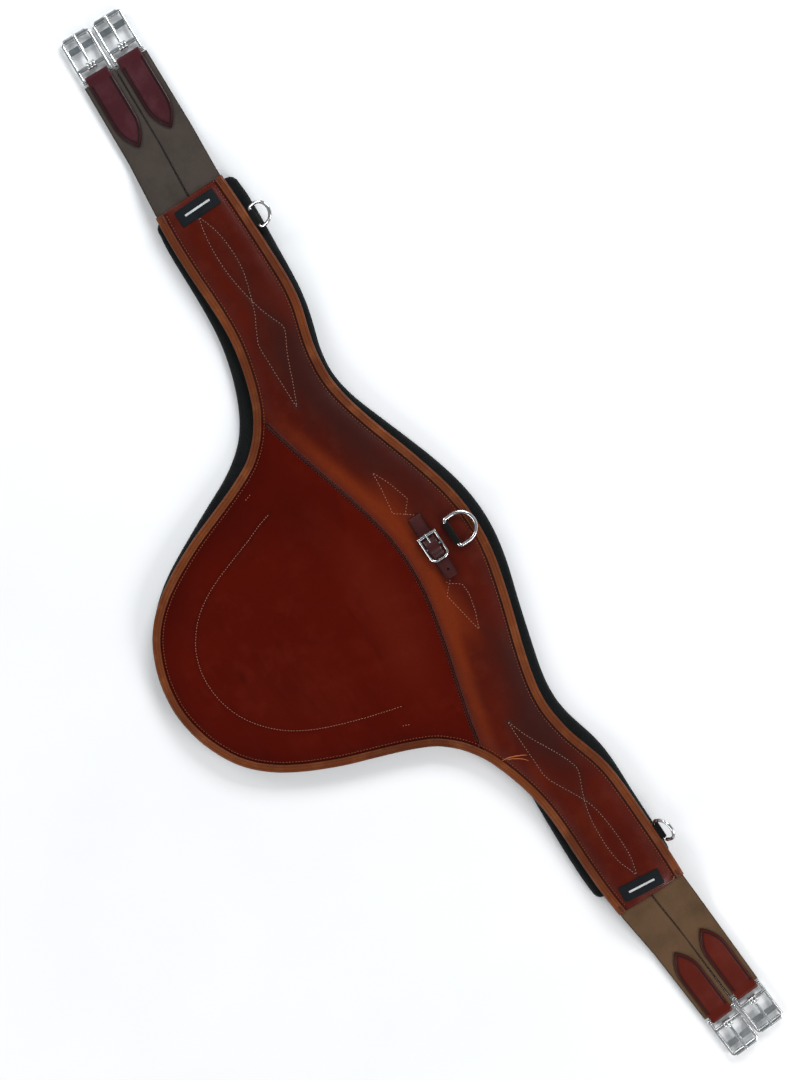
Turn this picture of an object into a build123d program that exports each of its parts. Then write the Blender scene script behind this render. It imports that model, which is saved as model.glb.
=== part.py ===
from build123d import *
import math
import os

os.makedirs("parts", exist_ok=True)

# Saddle girth with a belly guard, lying flat, leather side up.
# +X runs from the left buckles to the right buckles, +Y is the front edge (away from the belly guard), +Z is up.
# Plan coordinates below are measured from the girth's own centre line; SHIFT_X and SHIFT_Y bring the whole object's box centre to the origin.

# ---------------------------------------------------------------- driving dimensions (mm)
SHIFT_X, SHIFT_Y = 0.86, 127.44
HALF_LEN = 435.5          # half length of the leather body
END_R = 6.0               # corner radius of the leather ends
LINER_T = 9.0             # foam liner with its cover
COVER_T = 0.8             # knit cover of the liner
TAPE_T = 0.8              # hook tape and loop tape, each
Z_LIN0, Z_LIN1 = 10.6, 12.4      # leather lining
Z_PANEL = 15.9            # top of the flat leather edge and of the belly panel
Z_BAND = 19.4             # top of the padded band
Z_BIND0, Z_BIND1 = 9.8, 17.0     # edge binding
BIND_W = 11.0             # width of the binding seen from above
WALL = 2.0                # thickness of the folded binding at the edge
ELASTIC_T = 2.1
ELASTIC_W0 = 38.4         # elastic width at the leather
Z_EL = 13.7               # centre of the elastics where they leave the leather
Z_BAR = 4.6               # centre height of the buckles' base bars
CHAPE_W, CHAPE_T, CHAPE_L = 27.2, 1.9, 84.0
FRAME_W = 35.0            # buckle width over the side wires
WIRE = 1.8                # side wire radius
BASE_R = 1.9              # base bar radius
U_TONGUE, U_CROSS, U_OUTER = 12.0, 32.5, 44.6   # bar positions from the base bar, outwards
TONGUE_BAR_R = 2.1
ROLLER_R, ROLLER_BORE = 3.0, 1.86
DEE_WIRE = 1.9
RUN = 0.06                # radial running clearance
SIDE_DEE_HALF = 11.9       # half the width of a side dee ring, to the wire centre
CENTRE_DEE_ANGLE = -3.0

# half outlines (x, y) of the binding's outer edge
TOP = [(0, 54.4), (20, 53.5), (40, 50.9), (60, 46.4), (80, 41.0), (100, 35.2), (120, 28.8), (140, 22.6), (160, 17.0), (180, 12.4),
       (190, 10.8), (200, 9.9), (210, 9.8), (220, 10.8), (240, 13.9), (260, 19.6), (280, 25.8), (300, 29.4), (320, 30.8), (340, 31.3),
       (360, 31.6), (380, 31.9), (400, 32.0), (420, 31.8), (435.5, 31.2)]
BOTTOM = [(0, -319.9), (19.7, -318.2), (35.8, -315), (51.3, -310), (72.6, -300), (86.8, -290), (97.6, -280), (106.0, -270), (113.3, -260),
          (124.9, -240), (134.5, -220), (143.1, -200), (150.2, -180), (157.3, -160), (164.7, -140), (173.5, -120), (179, -110),
          (187.4, -100), (197.5, -90), (210, -81.3), (220, -75.3), (240, -67.5), (260, -61.5), (280, -56.9), (300, -54.3), (320, -53.3),
          (340, -53.2), (360, -53.4), (380, -53.2), (400, -52.7), (420, -51.3), (435.5, -49.9)]
SEAM = [(0, -29.0), (20, -29.8), (40, -32.0), (70, -38.3), (100, -45.8), (120, -51.3), (150, -59.8), (170, -65.2), (190, -69.8), (205, -73.0),
        (225, -76.5), (250, -80.0)]
# the foam liner lies a little off the leather, so its outline is not symmetric
LINER_TOP = [(-420, 41.4), (-412.6, 42.2), (-393.2, 41.6), (-373.8, 40.5), (-354.3, 39.0), (-334.8, 37.4), (-315.3, 35.9), (-295.7, 33.7), (-276.1, 29.8),
             (-256.5, 24.1), (-236.9, 17.6), (-217.2, 13.9), (-207.4, 13.4), (-197.5, 13.8), (-177.8, 17.3), (-158.1, 23.3), (-138.3, 30.3),
             (-118.5, 37.3), (-98.6, 44.2), (-78.8, 50.8), (-58.9, 56.5), (-38.9, 61.2), (-19.0, 64.0), (1.0, 64.9), (21.0, 63.7), (41.1, 60.5),
             (61.1, 55.7), (81.2, 49.7), (101.4, 43.5), (121.5, 37.8), (141.7, 32.2), (162.0, 26.6), (182.2, 22.1), (202.5, 20.0),
             (222.8, 21.4), (243.2, 26.2), (263.5, 31.5), (284.0, 34.2), (304.4, 34.6), (324.9, 34.0), (345.4, 33.7), (365.9, 33.7),
             (386.4, 33.5), (400, 33.0)]
LINER_BOTTOM = [(-420, -55.5), (-412.6, -56.9), (-393.2, -58.4), (-373.8, -59.1), (-354.3, -59.8), (-334.8, -60.8), (-315.3, -62.3),
                (-295.7, -65.0), (-276.1, -69.5), (-256.5, -75.5), (-236.9, -83.4), (-217.2, -93.8), (-197.5, -109.5), (-177.8, -137.0),
                (-158.1, -179.1), (-140.5, -216.0), (-126.5, -243.0), (-112.0, -264.5), (-95.0, -283.0), (-72.0, -300.5), (-48.0, -311.5), (-20.0, -318.0),
                (0.0, -319.6), (20.0, -318.0), (48.0, -310.0), (72.0, -298.0), (95.0, -280.5), (113.0, -257.0), (126.0, -234.0), (140.0, -203.0),
                (152.5, -168.0), (163.0, -138.0), (175.0, -112.5), (190.0, -93.5), (210.0, -78.5), (232.0, -67.5), (255.0, -59.8), (273.7, -57.0), (288.0, -57.4),
                (304.4, -58.4), (324.9, -59.5), (345.4, -60.4), (365.9, -60.8), (386.4, -60.9), (400, -60.2)]
LINER_X0, LINER_X1 = -432.0, 412.5

# strap ends: plan position of the base bar, plan position where the elastic leaves the leather, direction angle, elastic width at the buckle
STRAPS = {
    "left_front": dict(side=-1, y0=10.7, base=(-588.6, 19.1), angle=2.6, w1=37.0),
    "left_rear": dict(side=-1, y0=-28.7, base=(-590.4, -18.4), angle=2.9, w1=36.6),
    "right_front": dict(side=1, y0=10.4, base=(582.0, 18.1), angle=3.0, w1=34.6),
    "right_rear": dict(side=1, y0=-29.2, base=(588.6, -18.1), angle=3.4, w1=34.6),
}

# ---------------------------------------------------------------- small geometry helpers


def shift(p):
    return (p[0] + SHIFT_X, p[1] + SHIFT_Y)


def resample(points, step):
    """Points about step apart along a smooth curve through the given points."""
    out = []
    n = len(points)
    for i in range(n - 1):
        p0, p1, p2, p3 = points[max(i - 1, 0)], points[i], points[i + 1], points[min(i + 2, n - 1)]
        m = max(1, round(math.dist(p1, p2) / step))
        for k in range(m):
            t = k / m
            out.append(tuple(0.5 * (2 * p1[a] + (p2[a] - p0[a]) * t + (2 * p0[a] - 5 * p1[a] + 4 * p2[a] - p3[a]) * t * t
                                    + (3 * p1[a] - p0[a] - 3 * p2[a] + p3[a]) * t ** 3) for a in (0, 1)))
    out.append(points[-1])
    return out


def relax(points, rounds):
    for _ in range(rounds):
        points = [points[0]] + [tuple((points[i - 1][a] + 2 * points[i][a] + points[i + 1][a]) / 4 for a in (0, 1)) for i in range(1, len(points) - 1)] + [points[-1]]
    return points


def inset_curve(points, d, side):
    """The curve moved sideways by d; side 1 moves it to its right hand."""
    out = []
    for i, p in enumerate(points):
        a, b = points[max(i - 1, 0)], points[min(i + 1, len(points) - 1)]
        length = math.dist(a, b)
        nx, ny = (b[1] - a[1]) / length * side, -(b[0] - a[0]) / length * side
        out.append((p[0] + nx * d, p[1] + ny * d))
    return out


def at_x(points, x):
    for a, b in zip(points, points[1:]):
        if min(a[0], b[0]) <= x <= max(a[0], b[0]) and a[0] != b[0]:
            return a[1] + (b[1] - a[1]) * (x - a[0]) / (b[0] - a[0])
    raise ValueError(x)


def mirrored(half):
    return [(-x, y) for x, y in reversed(half[1:])] + list(half)


def clipped(points, x0, x1):
    keep = [p for p in points if x0 + 2 < p[0] < x1 - 2]
    return [(x0, at_x(points, x0))] + keep + [(x1, at_x(points, x1))]


def plan_face(top, bottom, x0, x1, r):
    """A flat face between two curves that both run left to right, with square ends at x0 and x1 and rounded corners."""
    t, b = clipped(top, x0 + r, x1 - r), clipped(bottom, x0 + r, x1 - r)
    every = 3
    t = [t[0]] + t[1:-1][::every] + [t[-1]]
    b = [b[0]] + b[1:-1][::every] + [b[-1]]
    t, b = [shift(p) for p in t], [shift(p) for p in b]
    x0, x1 = x0 + SHIFT_X, x1 + SHIFT_X
    k = r * (1 - math.sqrt(0.5))
    edges = [
        Spline(*t),
        ThreePointArc(t[-1], (x1 - k, t[-1][1] - k), (x1, t[-1][1] - r)),
        Line((x1, t[-1][1] - r), (x1, b[-1][1] + r)),
        ThreePointArc((x1, b[-1][1] + r), (x1 - k, b[-1][1] + k), b[-1]),
        Spline(*b[::-1]),
        ThreePointArc(b[0], (x0 + k, b[0][1] + k), (x0, b[0][1] + r)),
        Line((x0, b[0][1] + r), (x0, t[0][1] - r)),
        ThreePointArc((x0, t[0][1] - r), (x0 + k, t[0][1] - k), t[0]),
    ]
    return make_face(Wire(edges).edges())


TOP_C = relax(resample(mirrored(TOP), 5), 3)
BOT_C = relax(resample(mirrored(BOTTOM), 5), 3)
SEAM_C = relax(resample(mirrored(SEAM), 5), 3)
LT_C = relax(resample(LINER_TOP, 5), 3)
LB_C = relax(resample(LINER_BOTTOM, 5), 3)


def extend(points, x):
    """Adds straight ends so that the curve reaches from -x to x."""
    first, last = points[0], points[-1]
    return ([(-x, first[1])] if first[0] > -x else []) + points + ([(x, last[1])] if last[0] < x else [])


def slab(face, z0, z1):
    return Pos(0, 0, z0) * extrude(face, amount=z1 - z0, dir=(0, 0, 1))


_faces = {}


def body_prism(d, z0, z1):
    """The girth's outline moved in by d, from z0 to z1."""
    if d not in _faces:
        top = extend(inset_curve(TOP_C, d, 1), HALF_LEN + 5)
        bottom = extend(inset_curve(BOT_C, d, -1), HALF_LEN + 5)
        _faces[d] = plan_face(top, bottom, -HALF_LEN + d, HALF_LEN - d, max(END_R - d, 1.0))
    return slab(_faces[d], z0, z1)


def liner_prism(d, z0, z1):
    top = extend(inset_curve(LT_C, d, 1), 440)
    bottom = extend(inset_curve(LB_C, d, -1), 440)
    return slab(plan_face(top, bottom, LINER_X0 + d, LINER_X1 - d, 9.0 - d), z0, z1)


def behind_seam(move, z0, z1):
    """Everything behind the seam between band and belly panel, the seam moved forward by move."""
    pts = [shift((x, y + move)) for x, y in SEAM_C][::2]
    x0, x1 = pts[0][0], pts[-1][0]
    low = SHIFT_Y - 360
    w = Wire([Spline(*pts), Line(pts[-1], (x1, low)), Line((x1, low), (x0, low)), Line((x0, low), pts[0])])
    return slab(make_face(w.edges()), z0, z1)


def put(name, shape):
    shape = shape if isinstance(shape, (Solid, Compound, Part)) else Compound([shape])
    shape.label = name
    print(name, len(shape.solids()), round(shape.volume, 1))
    export_step(shape, f"parts/{name}.step")


def swept(path, r):
    return sweep(Plane(origin=path @ 0, z_dir=path % 0) * Rot(0, 0, 37) * Circle(r), path=path)


def rod(a, b, r):
    a, b = Vector(*a), Vector(*b)
    return extrude(Plane(origin=a, z_dir=(b - a)) * Rot(0, 0, 23) * Circle(r), amount=(b - a).length)


def knob(p, r):
    """A short round foot across the rail's end, with softened edges."""
    foot = Rot(90, 0, 0) * Rot(0, 0, 29) * Cylinder(r, 1.5 * r)
    return Pos(*p) * fillet(foot.edges().filter_by(GeomType.CIRCLE), 0.35 * r)


def box(x0, x1, y0, y1, z0, z1):
    return Pos((x0 + x1) / 2, (y0 + y1) / 2, (z0 + z1) / 2) * Box(x1 - x0, y1 - y0, z1 - z0)


def rounded(w, h, t, r, x, y, z0):
    return Pos(x + SHIFT_X, y + SHIFT_Y, z0) * extrude(RectangleRounded(w, h, r), amount=t)


# ---------------------------------------------------------------- liner
liner_outer = liner_prism(0, 0, LINER_T)
liner_core = liner_prism(COVER_T, COVER_T, LINER_T - COVER_T)
put("liner_cover", liner_outer - liner_core)
put("liner_foam", liner_core)

strip_spots = [(-330, -10, 150, 40), (-125, -14, 110, 26), (125, -14, 110, 26), (330, -10, 150, 40), (0, -110, 150, 30), (0, -240, 110, 30)]
put("loop_strips", Compound([rounded(w, h, TAPE_T, 5, x, y, LINER_T).solids()[0] for x, y, w, h in strip_spots]))
put("hook_strips", Compound([rounded(w - 10, h - 8, TAPE_T, 4, x, y, LINER_T + TAPE_T).solids()[0] for x, y, w, h in strip_spots]))

# ---------------------------------------------------------------- elastics
elastics = {}
for name, s in STRAPS.items():
    side, (bx, by) = s["side"], s["base"]
    a = math.radians(s["angle"])
    end = (bx - side * 5.0 * math.cos(a), by - 5.0 * math.sin(a))      # 5 mm short of the base bar
    flat = (bx - side * 92.0 * math.cos(a), by - 92.0 * math.sin(a))   # start of the level part, under the chape's tip
    edge = (side * HALF_LEN, s["y0"])
    stations = [
        (side * (HALF_LEN - 28), s["y0"], Z_EL, ELASTIC_W0), (edge[0] + side * 3, edge[1], Z_EL, ELASTIC_W0),
    ]
    for k, z in ((0.25, Z_EL - 1.5), (0.5, Z_EL - 4.2), (0.75, Z_EL - 7.2)):
        stations.append((edge[0] + (flat[0] - edge[0]) * k + side * 3 * (1 - k), edge[1] + (flat[1] - edge[1]) * k, z, ELASTIC_W0 + (s["w1"] - ELASTIC_W0) * k * 0.4))
    stations += [(flat[0], flat[1], Z_BAR, ELASTIC_W0 + (s["w1"] - ELASTIC_W0) * 0.4), (end[0], end[1], Z_BAR, s["w1"])]
    sections = [Plane(origin=(x + SHIFT_X, y + SHIFT_Y, z), x_dir=(0, 1, 0), z_dir=(side, 0, 0)) * Rectangle(w, ELASTIC_T) for x, y, z, w in stations]
    elastics[name] = loft(sections, ruled=True)
    put("elastic_" + name, elastics[name])
all_elastics = [elastics[n] for n in STRAPS]

# ---------------------------------------------------------------- dee rings and their webbing loops


def dee(half_w, leg, angle):
    """A dee ring with its bar's centre at the origin along X, turned up about the bar by angle."""
    r = 3.2
    path = Wire([
        ThreePointArc((-half_w + r, 0), (-half_w + r * (1 - math.sqrt(.5)), r * (1 - math.sqrt(.5))), (-half_w, r)),
        Line((-half_w, r), (-half_w, leg)),
        ThreePointArc((-half_w, leg), (0, leg + half_w), (half_w, leg)),
        Line((half_w, leg), (half_w, r)),
        ThreePointArc((half_w, r), (half_w - r * (1 - math.sqrt(.5)), r * (1 - math.sqrt(.5))), (half_w - r, 0)),
    ])
    ring = swept(path, DEE_WIRE) + rod((-half_w + r, 0, 0), (half_w - r, 0, 0), DEE_WIRE)
    return Rot(angle, 0, 0) * ring


def loop(width, wrap, tail_y, tail_z0, tail_z1):
    """Webbing round the dee's bar, with a tail that runs towards -Y from the bar to tail_y."""
    outer = DEE_WIRE + RUN + wrap
    ring = Rot(0, 90, 0) * Cylinder(outer, width) + box(-width / 2, width / 2, tail_y, 0, tail_z0, tail_z1)
    return ring - Rot(0, 90, 0) * Cylinder(DEE_WIRE + RUN, width + 2)


side_dees = {"left": (-380.9, 35.5, 30.0), "right": (383.0, 35.3, 55.0)}   # x, y, and how far the ring stands up
tails = []
for key, (dx, dy, turn) in side_dees.items():
    place = Pos(dx + SHIFT_X, dy + SHIFT_Y, 13.6)
    put("side_dee_" + key, place * dee(SIDE_DEE_HALF, 7.5, turn))
    webbing = place * loop(17.4, 1.2, -18.5, -1.0, 1.0)
    tails.append(webbing)
    put(f"side_dee_loop_{key}", webbing)

C_BAR = (0.0, 25.2, Z_BAND + 1.2 + RUN + DEE_WIRE)
place = Pos(C_BAR[0] + SHIFT_X, C_BAR[1] + SHIFT_Y, C_BAR[2])
put("centre_dee", place * dee(16.1, 11.0, CENTRE_DEE_ANGLE))
centre_loop = Rot(0, 90, 0) * Cylinder(DEE_WIRE + RUN + 1.2, 25.0)
centre_loop += box(-12.5, 12.5, -3.6, 0, -(C_BAR[2] - Z_BAND), -(C_BAR[2] - Z_BAND) + 1.6)
centre_loop -= Rot(0, 90, 0) * Cylinder(DEE_WIRE + RUN, 30)
put("centre_dee_loop", place * centre_loop)

# ---------------------------------------------------------------- girth body
lining = body_prism(WALL, Z_LIN0, Z_LIN1)
put("inner_lining", lining)
belly = body_prism(WALL, Z_LIN1, Z_PANEL) & behind_seam(0, Z_LIN1 - 1, Z_PANEL + 1)
put("belly_panel", belly)

band = body_prism(WALL, Z_LIN1, Z_PANEL) + body_prism(BIND_W + 0.3, Z_LIN1, Z_BAND)
band -= behind_seam(0, Z_LIN1 - 1, Z_BAND + 1)
band -= body_prism(13.5, Z_LIN1, 17.4) - behind_seam(2.6, Z_LIN1 - 1, 18)
for solid in all_elastics + tails:
    band -= solid
put("band_leather", band)

pad = body_prism(13.9, 14.9, 17.3) - behind_seam(3.0, 14, 18)
for solid in tails:
    pad -= solid
put("band_padding", pad)
core = body_prism(16.0, 12.6, 13.9) - behind_seam(12.0, 12, 14.5)
core &= box(-404 + SHIFT_X, 404 + SHIFT_X, SHIFT_Y - 120, SHIFT_Y + 80, 12, 14.5)
for solid in tails:
    core -= solid
put("web_core", core)

binding = body_prism(0, Z_BIND0, Z_BIND1) - body_prism(BIND_W, Z_PANEL, Z_BIND1 + 1) - body_prism(WALL, Z_LIN0, Z_PANEL) - body_prism(9.0, Z_BIND0 - 1, Z_LIN0)
for solid in all_elastics + tails:
    binding -= solid
put("edge_binding", binding)

# raised bead along the foot of the band, on the belly panel
bead_pts = [p for p in inset_curve(SEAM_C, 1.15, 1) if abs(p[0]) < 188][::3]
bead_path = Wire([Spline(*[(p[0] + SHIFT_X, p[1] + SHIFT_Y, Z_PANEL + 1.0) for p in bead_pts])])
put("seam_welt", swept(bead_path, 1.0))

put("end_label_left", rounded(18.4, 47.0, 0.7, 1.0, -420.3, -7.8, Z_BAND))
put("end_label_right", Pos(420.1 + SHIFT_X, -12.7 + SHIFT_Y, Z_BAND) * Rot(0, 0, -5.8) * extrude(RectangleRounded(18.4, 46.6, 1.0), amount=0.7))

# ---------------------------------------------------------------- centre loop strap and its small buckle
LS_Y = 2.2
SB_X0, SB_X1, SB_BAR, SB_Z = -12.5, 16.0, 1.0, 24.6


def side_profile(points, half_t):
    """A closed face in the XZ plane: the band half_t each side of a curve."""
    up = [(x, z + half_t) for x, z in points]
    down = [(x, z - half_t) for x, z in points]
    edges = [Spline(*up), Line(up[-1], down[-1]), Spline(*down[::-1]), Line(down[0], up[0])]
    return make_face(Wire(edges).edges())


def across(face, y, width):
    """Extrudes a face drawn as (x, z) across Y, centred on y."""
    return Plane(origin=(SHIFT_X, y + SHIFT_Y + width / 2, 0), x_dir=(1, 0, 0), z_dir=(0, -1, 0)).location * extrude(face, amount=width)


strap_line = [(-35, 20.45), (-29, 20.5), (-20, 20.7), (-12.5, 21.5), (-8, 23.4), (-3.4, 26.6), (1, 27.75), (5.2, 26.9), (10, 23.7), (13, 22.25), (16, 21.75), (20, 21.7), (28, 22.1), (39, 23.1)]
strap = across(side_profile(strap_line, 0.9), LS_Y - 0.4, 13.6)
plan = Polyline((-40, LS_Y - 7.8), (-40, LS_Y + 7.0), (31.5, LS_Y + 7.0), (37.5, LS_Y + 2.1), (38.6, LS_Y - 0.4), (37.5, LS_Y - 2.9), (31.5, LS_Y - 7.8), (-40, LS_Y - 7.8))
plan_solid = Pos(SHIFT_X, SHIFT_Y, 15) * extrude(make_face(plan.edges()), amount=20)
strap &= plan_solid
strap -= Pos(SHIFT_X - 2.0, SHIFT_Y + LS_Y - 0.4, 15) * extrude(SlotOverall(9.6, 2.8), amount=20)
for hx in (11.2, 29.0):
    strap -= Pos(SHIFT_X + hx, SHIFT_Y + LS_Y - 0.4, 15) * extrude(Circle(1.5), amount=20)
put("loop_strap", strap)

chape_line = [(36, 20.12), (26, 20.12), (14, 20.15), (7, 20.7), (3.0, 21.6), (1.0, 21.95)]
small_chape = across(side_profile(chape_line[::-1], 0.6), LS_Y, 12.0)
wrap = Plane(origin=(SHIFT_X + SB_BAR, SHIFT_Y + LS_Y + 6.0, 24.0), x_dir=(1, 0, 0), z_dir=(0, -1, 0)).location * extrude(Circle(2.45), amount=12.0)
small_chape += wrap
small_chape -= Plane(origin=(SHIFT_X + SB_BAR, SHIFT_Y + LS_Y + 9.0, 24.0), x_dir=(1, 0, 0), z_dir=(0, -1, 0)).location * extrude(Circle(1.1 + 0.05), amount=18.0)
small_chape -= box(SHIFT_X - 4, SHIFT_X + 4.6, SHIFT_Y + LS_Y - 2.0, SHIFT_Y + LS_Y + 1.2, 20.8, 28)
put("loop_strap_chape", small_chape)

rail = 9.7
sb_path = Wire([
    Line((SB_X0, -rail), (SB_X1 - 6.0, -rail)),
    ThreePointArc((SB_X1 - 6.0, -rail), (SB_X1 - 6.0 + 6.0 * math.sqrt(.5), -rail + 6.0 * (1 - math.sqrt(.5))), (SB_X1, -rail + 6.0)),
    Line((SB_X1, -rail + 6.0), (SB_X1, rail - 6.0)),
    ThreePointArc((SB_X1, rail - 6.0), (SB_X1 - 6.0 + 6.0 * math.sqrt(.5), rail - 6.0 * (1 - math.sqrt(.5))), (SB_X1 - 6.0, rail)),
    Line((SB_X1 - 6.0, rail), (SB_X0, rail)),
])
small = swept(sb_path, 1.3)
small += rod((SB_X0, -rail, 0), (SB_X0, rail, 0), 0.95)
small += knob((SB_X0, -rail, 0), 1.75) + knob((SB_X0, rail, 0), 1.75)
small += rod((SB_BAR, -rail - 0.5, -0.6), (SB_BAR, rail + 0.5, -0.6), 1.1)
put("small_buckle_frame", Pos(SHIFT_X, SHIFT_Y + LS_Y, SB_Z) * small)
roller = Rot(90, 0, 0) * (Cylinder(1.9, 14.8) - Cylinder(0.95 + RUN, 16))
put("small_buckle_roller", Pos(SHIFT_X + SB_X0, SHIFT_Y + LS_Y, SB_Z) * roller)
t0, t1 = (SB_BAR - 0.8, LS_Y - 0.4, 25.45), (SB_X0 - 1.6, LS_Y - 0.4, SB_Z + 1.9 + 1.35)
small_tongue = rod((t0[0] + SHIFT_X, t0[1] + SHIFT_Y, t0[2]), (t1[0] + SHIFT_X, t1[1] + SHIFT_Y, t1[2]), 0.9)
small_tongue += Pos(t1[0] + SHIFT_X, t1[1] + SHIFT_Y, t1[2]) * Sphere(0.9)
eye = Rot(90, 0, 0) * Cylinder(2.35, 2.2)
small_tongue += Pos(SHIFT_X + SB_BAR, SHIFT_Y + LS_Y - 0.4, 24.0) * eye
small_tongue -= Pos(SHIFT_X + SB_BAR, SHIFT_Y + LS_Y - 0.4, 24.0) * (Rot(90, 0, 0) * Cylinder(1.1 + RUN, 6))
put("small_buckle_tongue", small_tongue)

# ---------------------------------------------------------------- chapes and roller buckles, drawn in their own frame: u outwards, v across, base bar at the origin
half = FRAME_W / 2 - WIRE
fold_r = BASE_R + 0.05 + CHAPE_T
gap = ELASTIC_T / 2 + 0.05
leaf = gap + CHAPE_T
outer_pts = [(0, fold_r), (-9, leaf), (-CHAPE_L, leaf), (-CHAPE_L, -leaf), (-9, -leaf), (0, -fold_r)]
inner_pts = [(0, BASE_R + 0.05), (-9, gap), (-CHAPE_L - 1, gap), (-CHAPE_L - 1, -gap), (-9, -gap), (0, -BASE_R - 0.05)]


def chape_local():
    def prism(points, r):
        face = make_face(Polyline(*points, points[0]).edges()) + Circle(r)
        return Plane(origin=(0, CHAPE_W / 2, 0), x_dir=(1, 0, 0), z_dir=(0, -1, 0)).location * extrude(face, amount=CHAPE_W)
    solid = prism(outer_pts, fold_r) - prism(inner_pts, BASE_R + 0.05)
    w, tip = CHAPE_W / 2, 30.0
    arch = Wire([
        Line((6, -w), (6, w)), Line((6, w), (-CHAPE_L + tip, w)),
        ThreePointArc((-CHAPE_L + tip, w), (-CHAPE_L + tip * 0.42, w * 0.70), (-CHAPE_L + 0.6, 1.2)),
        ThreePointArc((-CHAPE_L + 0.6, 1.2), (-CHAPE_L, 0), (-CHAPE_L + 0.6, -1.2)),
        ThreePointArc((-CHAPE_L + 0.6, -1.2), (-CHAPE_L + tip * 0.42, -w * 0.70), (-CHAPE_L + tip, -w)),
        Line((-CHAPE_L + tip, -w), (6, -w)),
    ])
    return solid & (Pos(0, 0, -10) * extrude(make_face(arch.edges()), amount=20))


def frame_local():
    r = 2.6
    k = r * (1 - math.sqrt(.5))
    path = Wire([
        Line((0, -half), (U_OUTER - r, -half)),
        ThreePointArc((U_OUTER - r, -half), (U_OUTER - k, -half + k), (U_OUTER, -half + r)),
        Line((U_OUTER, -half + r), (U_OUTER, half - r)),
        ThreePointArc((U_OUTER, half - r), (U_OUTER - k, half - k), (U_OUTER - r, half)),
        Line((U_OUTER - r, half), (0, half)),
    ])
    frame = swept(path, WIRE)
    frame += rod((0, -half, 0), (0, half, 0), BASE_R)
    frame += knob((0, -half, 0), 2.5) + knob((0, half, 0), 2.5)
    frame += rod((U_TONGUE, -half - 0.7, 0), (U_TONGUE, half + 0.7, 0), TONGUE_BAR_R)
    frame += box(U_CROSS - 3.2, U_CROSS + 3.2, -half - 0.4, half + 0.4, -1.5, 0.3)
    return frame


def roller_local():
    tube = Rot(90, 0, 0) * (Cylinder(ROLLER_R, 25.6) - Cylinder(ROLLER_BORE, 27))
    return Pos(U_OUTER, 0, 0) * tube


def tongue_local():
    turns = []
    for i in (-1, 0, 1):
        turns.append(Pos(0, i * 3.7, 0) * (Rot(90, 0, 0) * Torus(TONGUE_BAR_R + RUN + 1.05, 1.05 + 0.12)))
    barrel = Rot(90, 0, 0) * Cylinder(TONGUE_BAR_R + 1.7, 9.6)
    for t in turns:
        barrel += t
    top = (U_OUTER - U_TONGUE, 0, ROLLER_R + 1.72)
    neck = (3.0, 0, 3.1)
    solid = barrel + rod(neck, top, 1.7) + Pos(*neck) * Sphere(1.95) + Pos(*top) * Sphere(1.7)
    solid -= Rot(90, 0, 0) * Cylinder(TONGUE_BAR_R + RUN, 30)
    return Pos(U_TONGUE, 0, 0) * solid


chape0, frame0, roller0, tongue0 = chape_local(), frame_local(), roller_local(), tongue_local()
for name, s in STRAPS.items():
    a = math.radians(s["angle"])
    u = (s["side"] * math.cos(a), math.sin(a), 0)
    where = Plane(origin=(s["base"][0] + SHIFT_X, s["base"][1] + SHIFT_Y, Z_BAR), x_dir=u, z_dir=(0, 0, 1)).location
    put("chape_" + name, where * chape0)
    put("buckle_frame_" + name, where * frame0)
    put("buckle_roller_" + name, where * roller0)
    put("buckle_tongue_" + name, where * tongue0)
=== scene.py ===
import math
import random

import bpy
import numpy as np
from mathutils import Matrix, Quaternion, Vector
from mathutils.geometry import delaunay_2d_cdt


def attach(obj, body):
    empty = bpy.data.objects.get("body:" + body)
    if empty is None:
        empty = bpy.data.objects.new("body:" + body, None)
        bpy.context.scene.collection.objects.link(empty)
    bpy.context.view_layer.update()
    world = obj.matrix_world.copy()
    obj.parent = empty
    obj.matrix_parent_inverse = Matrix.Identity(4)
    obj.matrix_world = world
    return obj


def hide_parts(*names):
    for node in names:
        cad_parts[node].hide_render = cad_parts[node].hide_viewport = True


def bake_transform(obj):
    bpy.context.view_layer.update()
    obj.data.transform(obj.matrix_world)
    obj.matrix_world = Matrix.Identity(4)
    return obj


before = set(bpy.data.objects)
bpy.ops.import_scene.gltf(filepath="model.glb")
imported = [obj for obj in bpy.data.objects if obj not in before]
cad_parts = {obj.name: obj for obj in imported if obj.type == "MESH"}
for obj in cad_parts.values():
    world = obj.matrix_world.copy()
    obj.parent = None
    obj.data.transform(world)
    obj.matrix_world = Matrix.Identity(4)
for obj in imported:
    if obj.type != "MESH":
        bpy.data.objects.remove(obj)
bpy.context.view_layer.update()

random.seed(7)
RNG = np.random.default_rng(7)
WORLD = 0.85
SX, SY = 0.86, 127.44     # plan coordinates below are in mm from the girth's own centre; these bring them to the frame

# ------------------------------------------------------------------ camera
cam_data = bpy.data.cameras.new("cam")
cam = bpy.data.objects.new("cam", cam_data)
bpy.context.scene.collection.objects.link(cam)
cam_data.lens, cam_data.sensor_width = 50.0, 36.0
cam.location = (-0.10666, 0.15491, 1.5677)
cam.rotation_mode = "QUATERNION"
cam.rotation_quaternion = Quaternion((0.8806154, -0.0264428, -0.0176425, 0.4727642))
cam_data.clip_start, cam_data.clip_end = 0.05, 20
bpy.context.scene.camera = cam
bpy.context.scene.view_settings.view_transform = "Standard"
bpy.context.scene.view_settings.look = "None"

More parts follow.
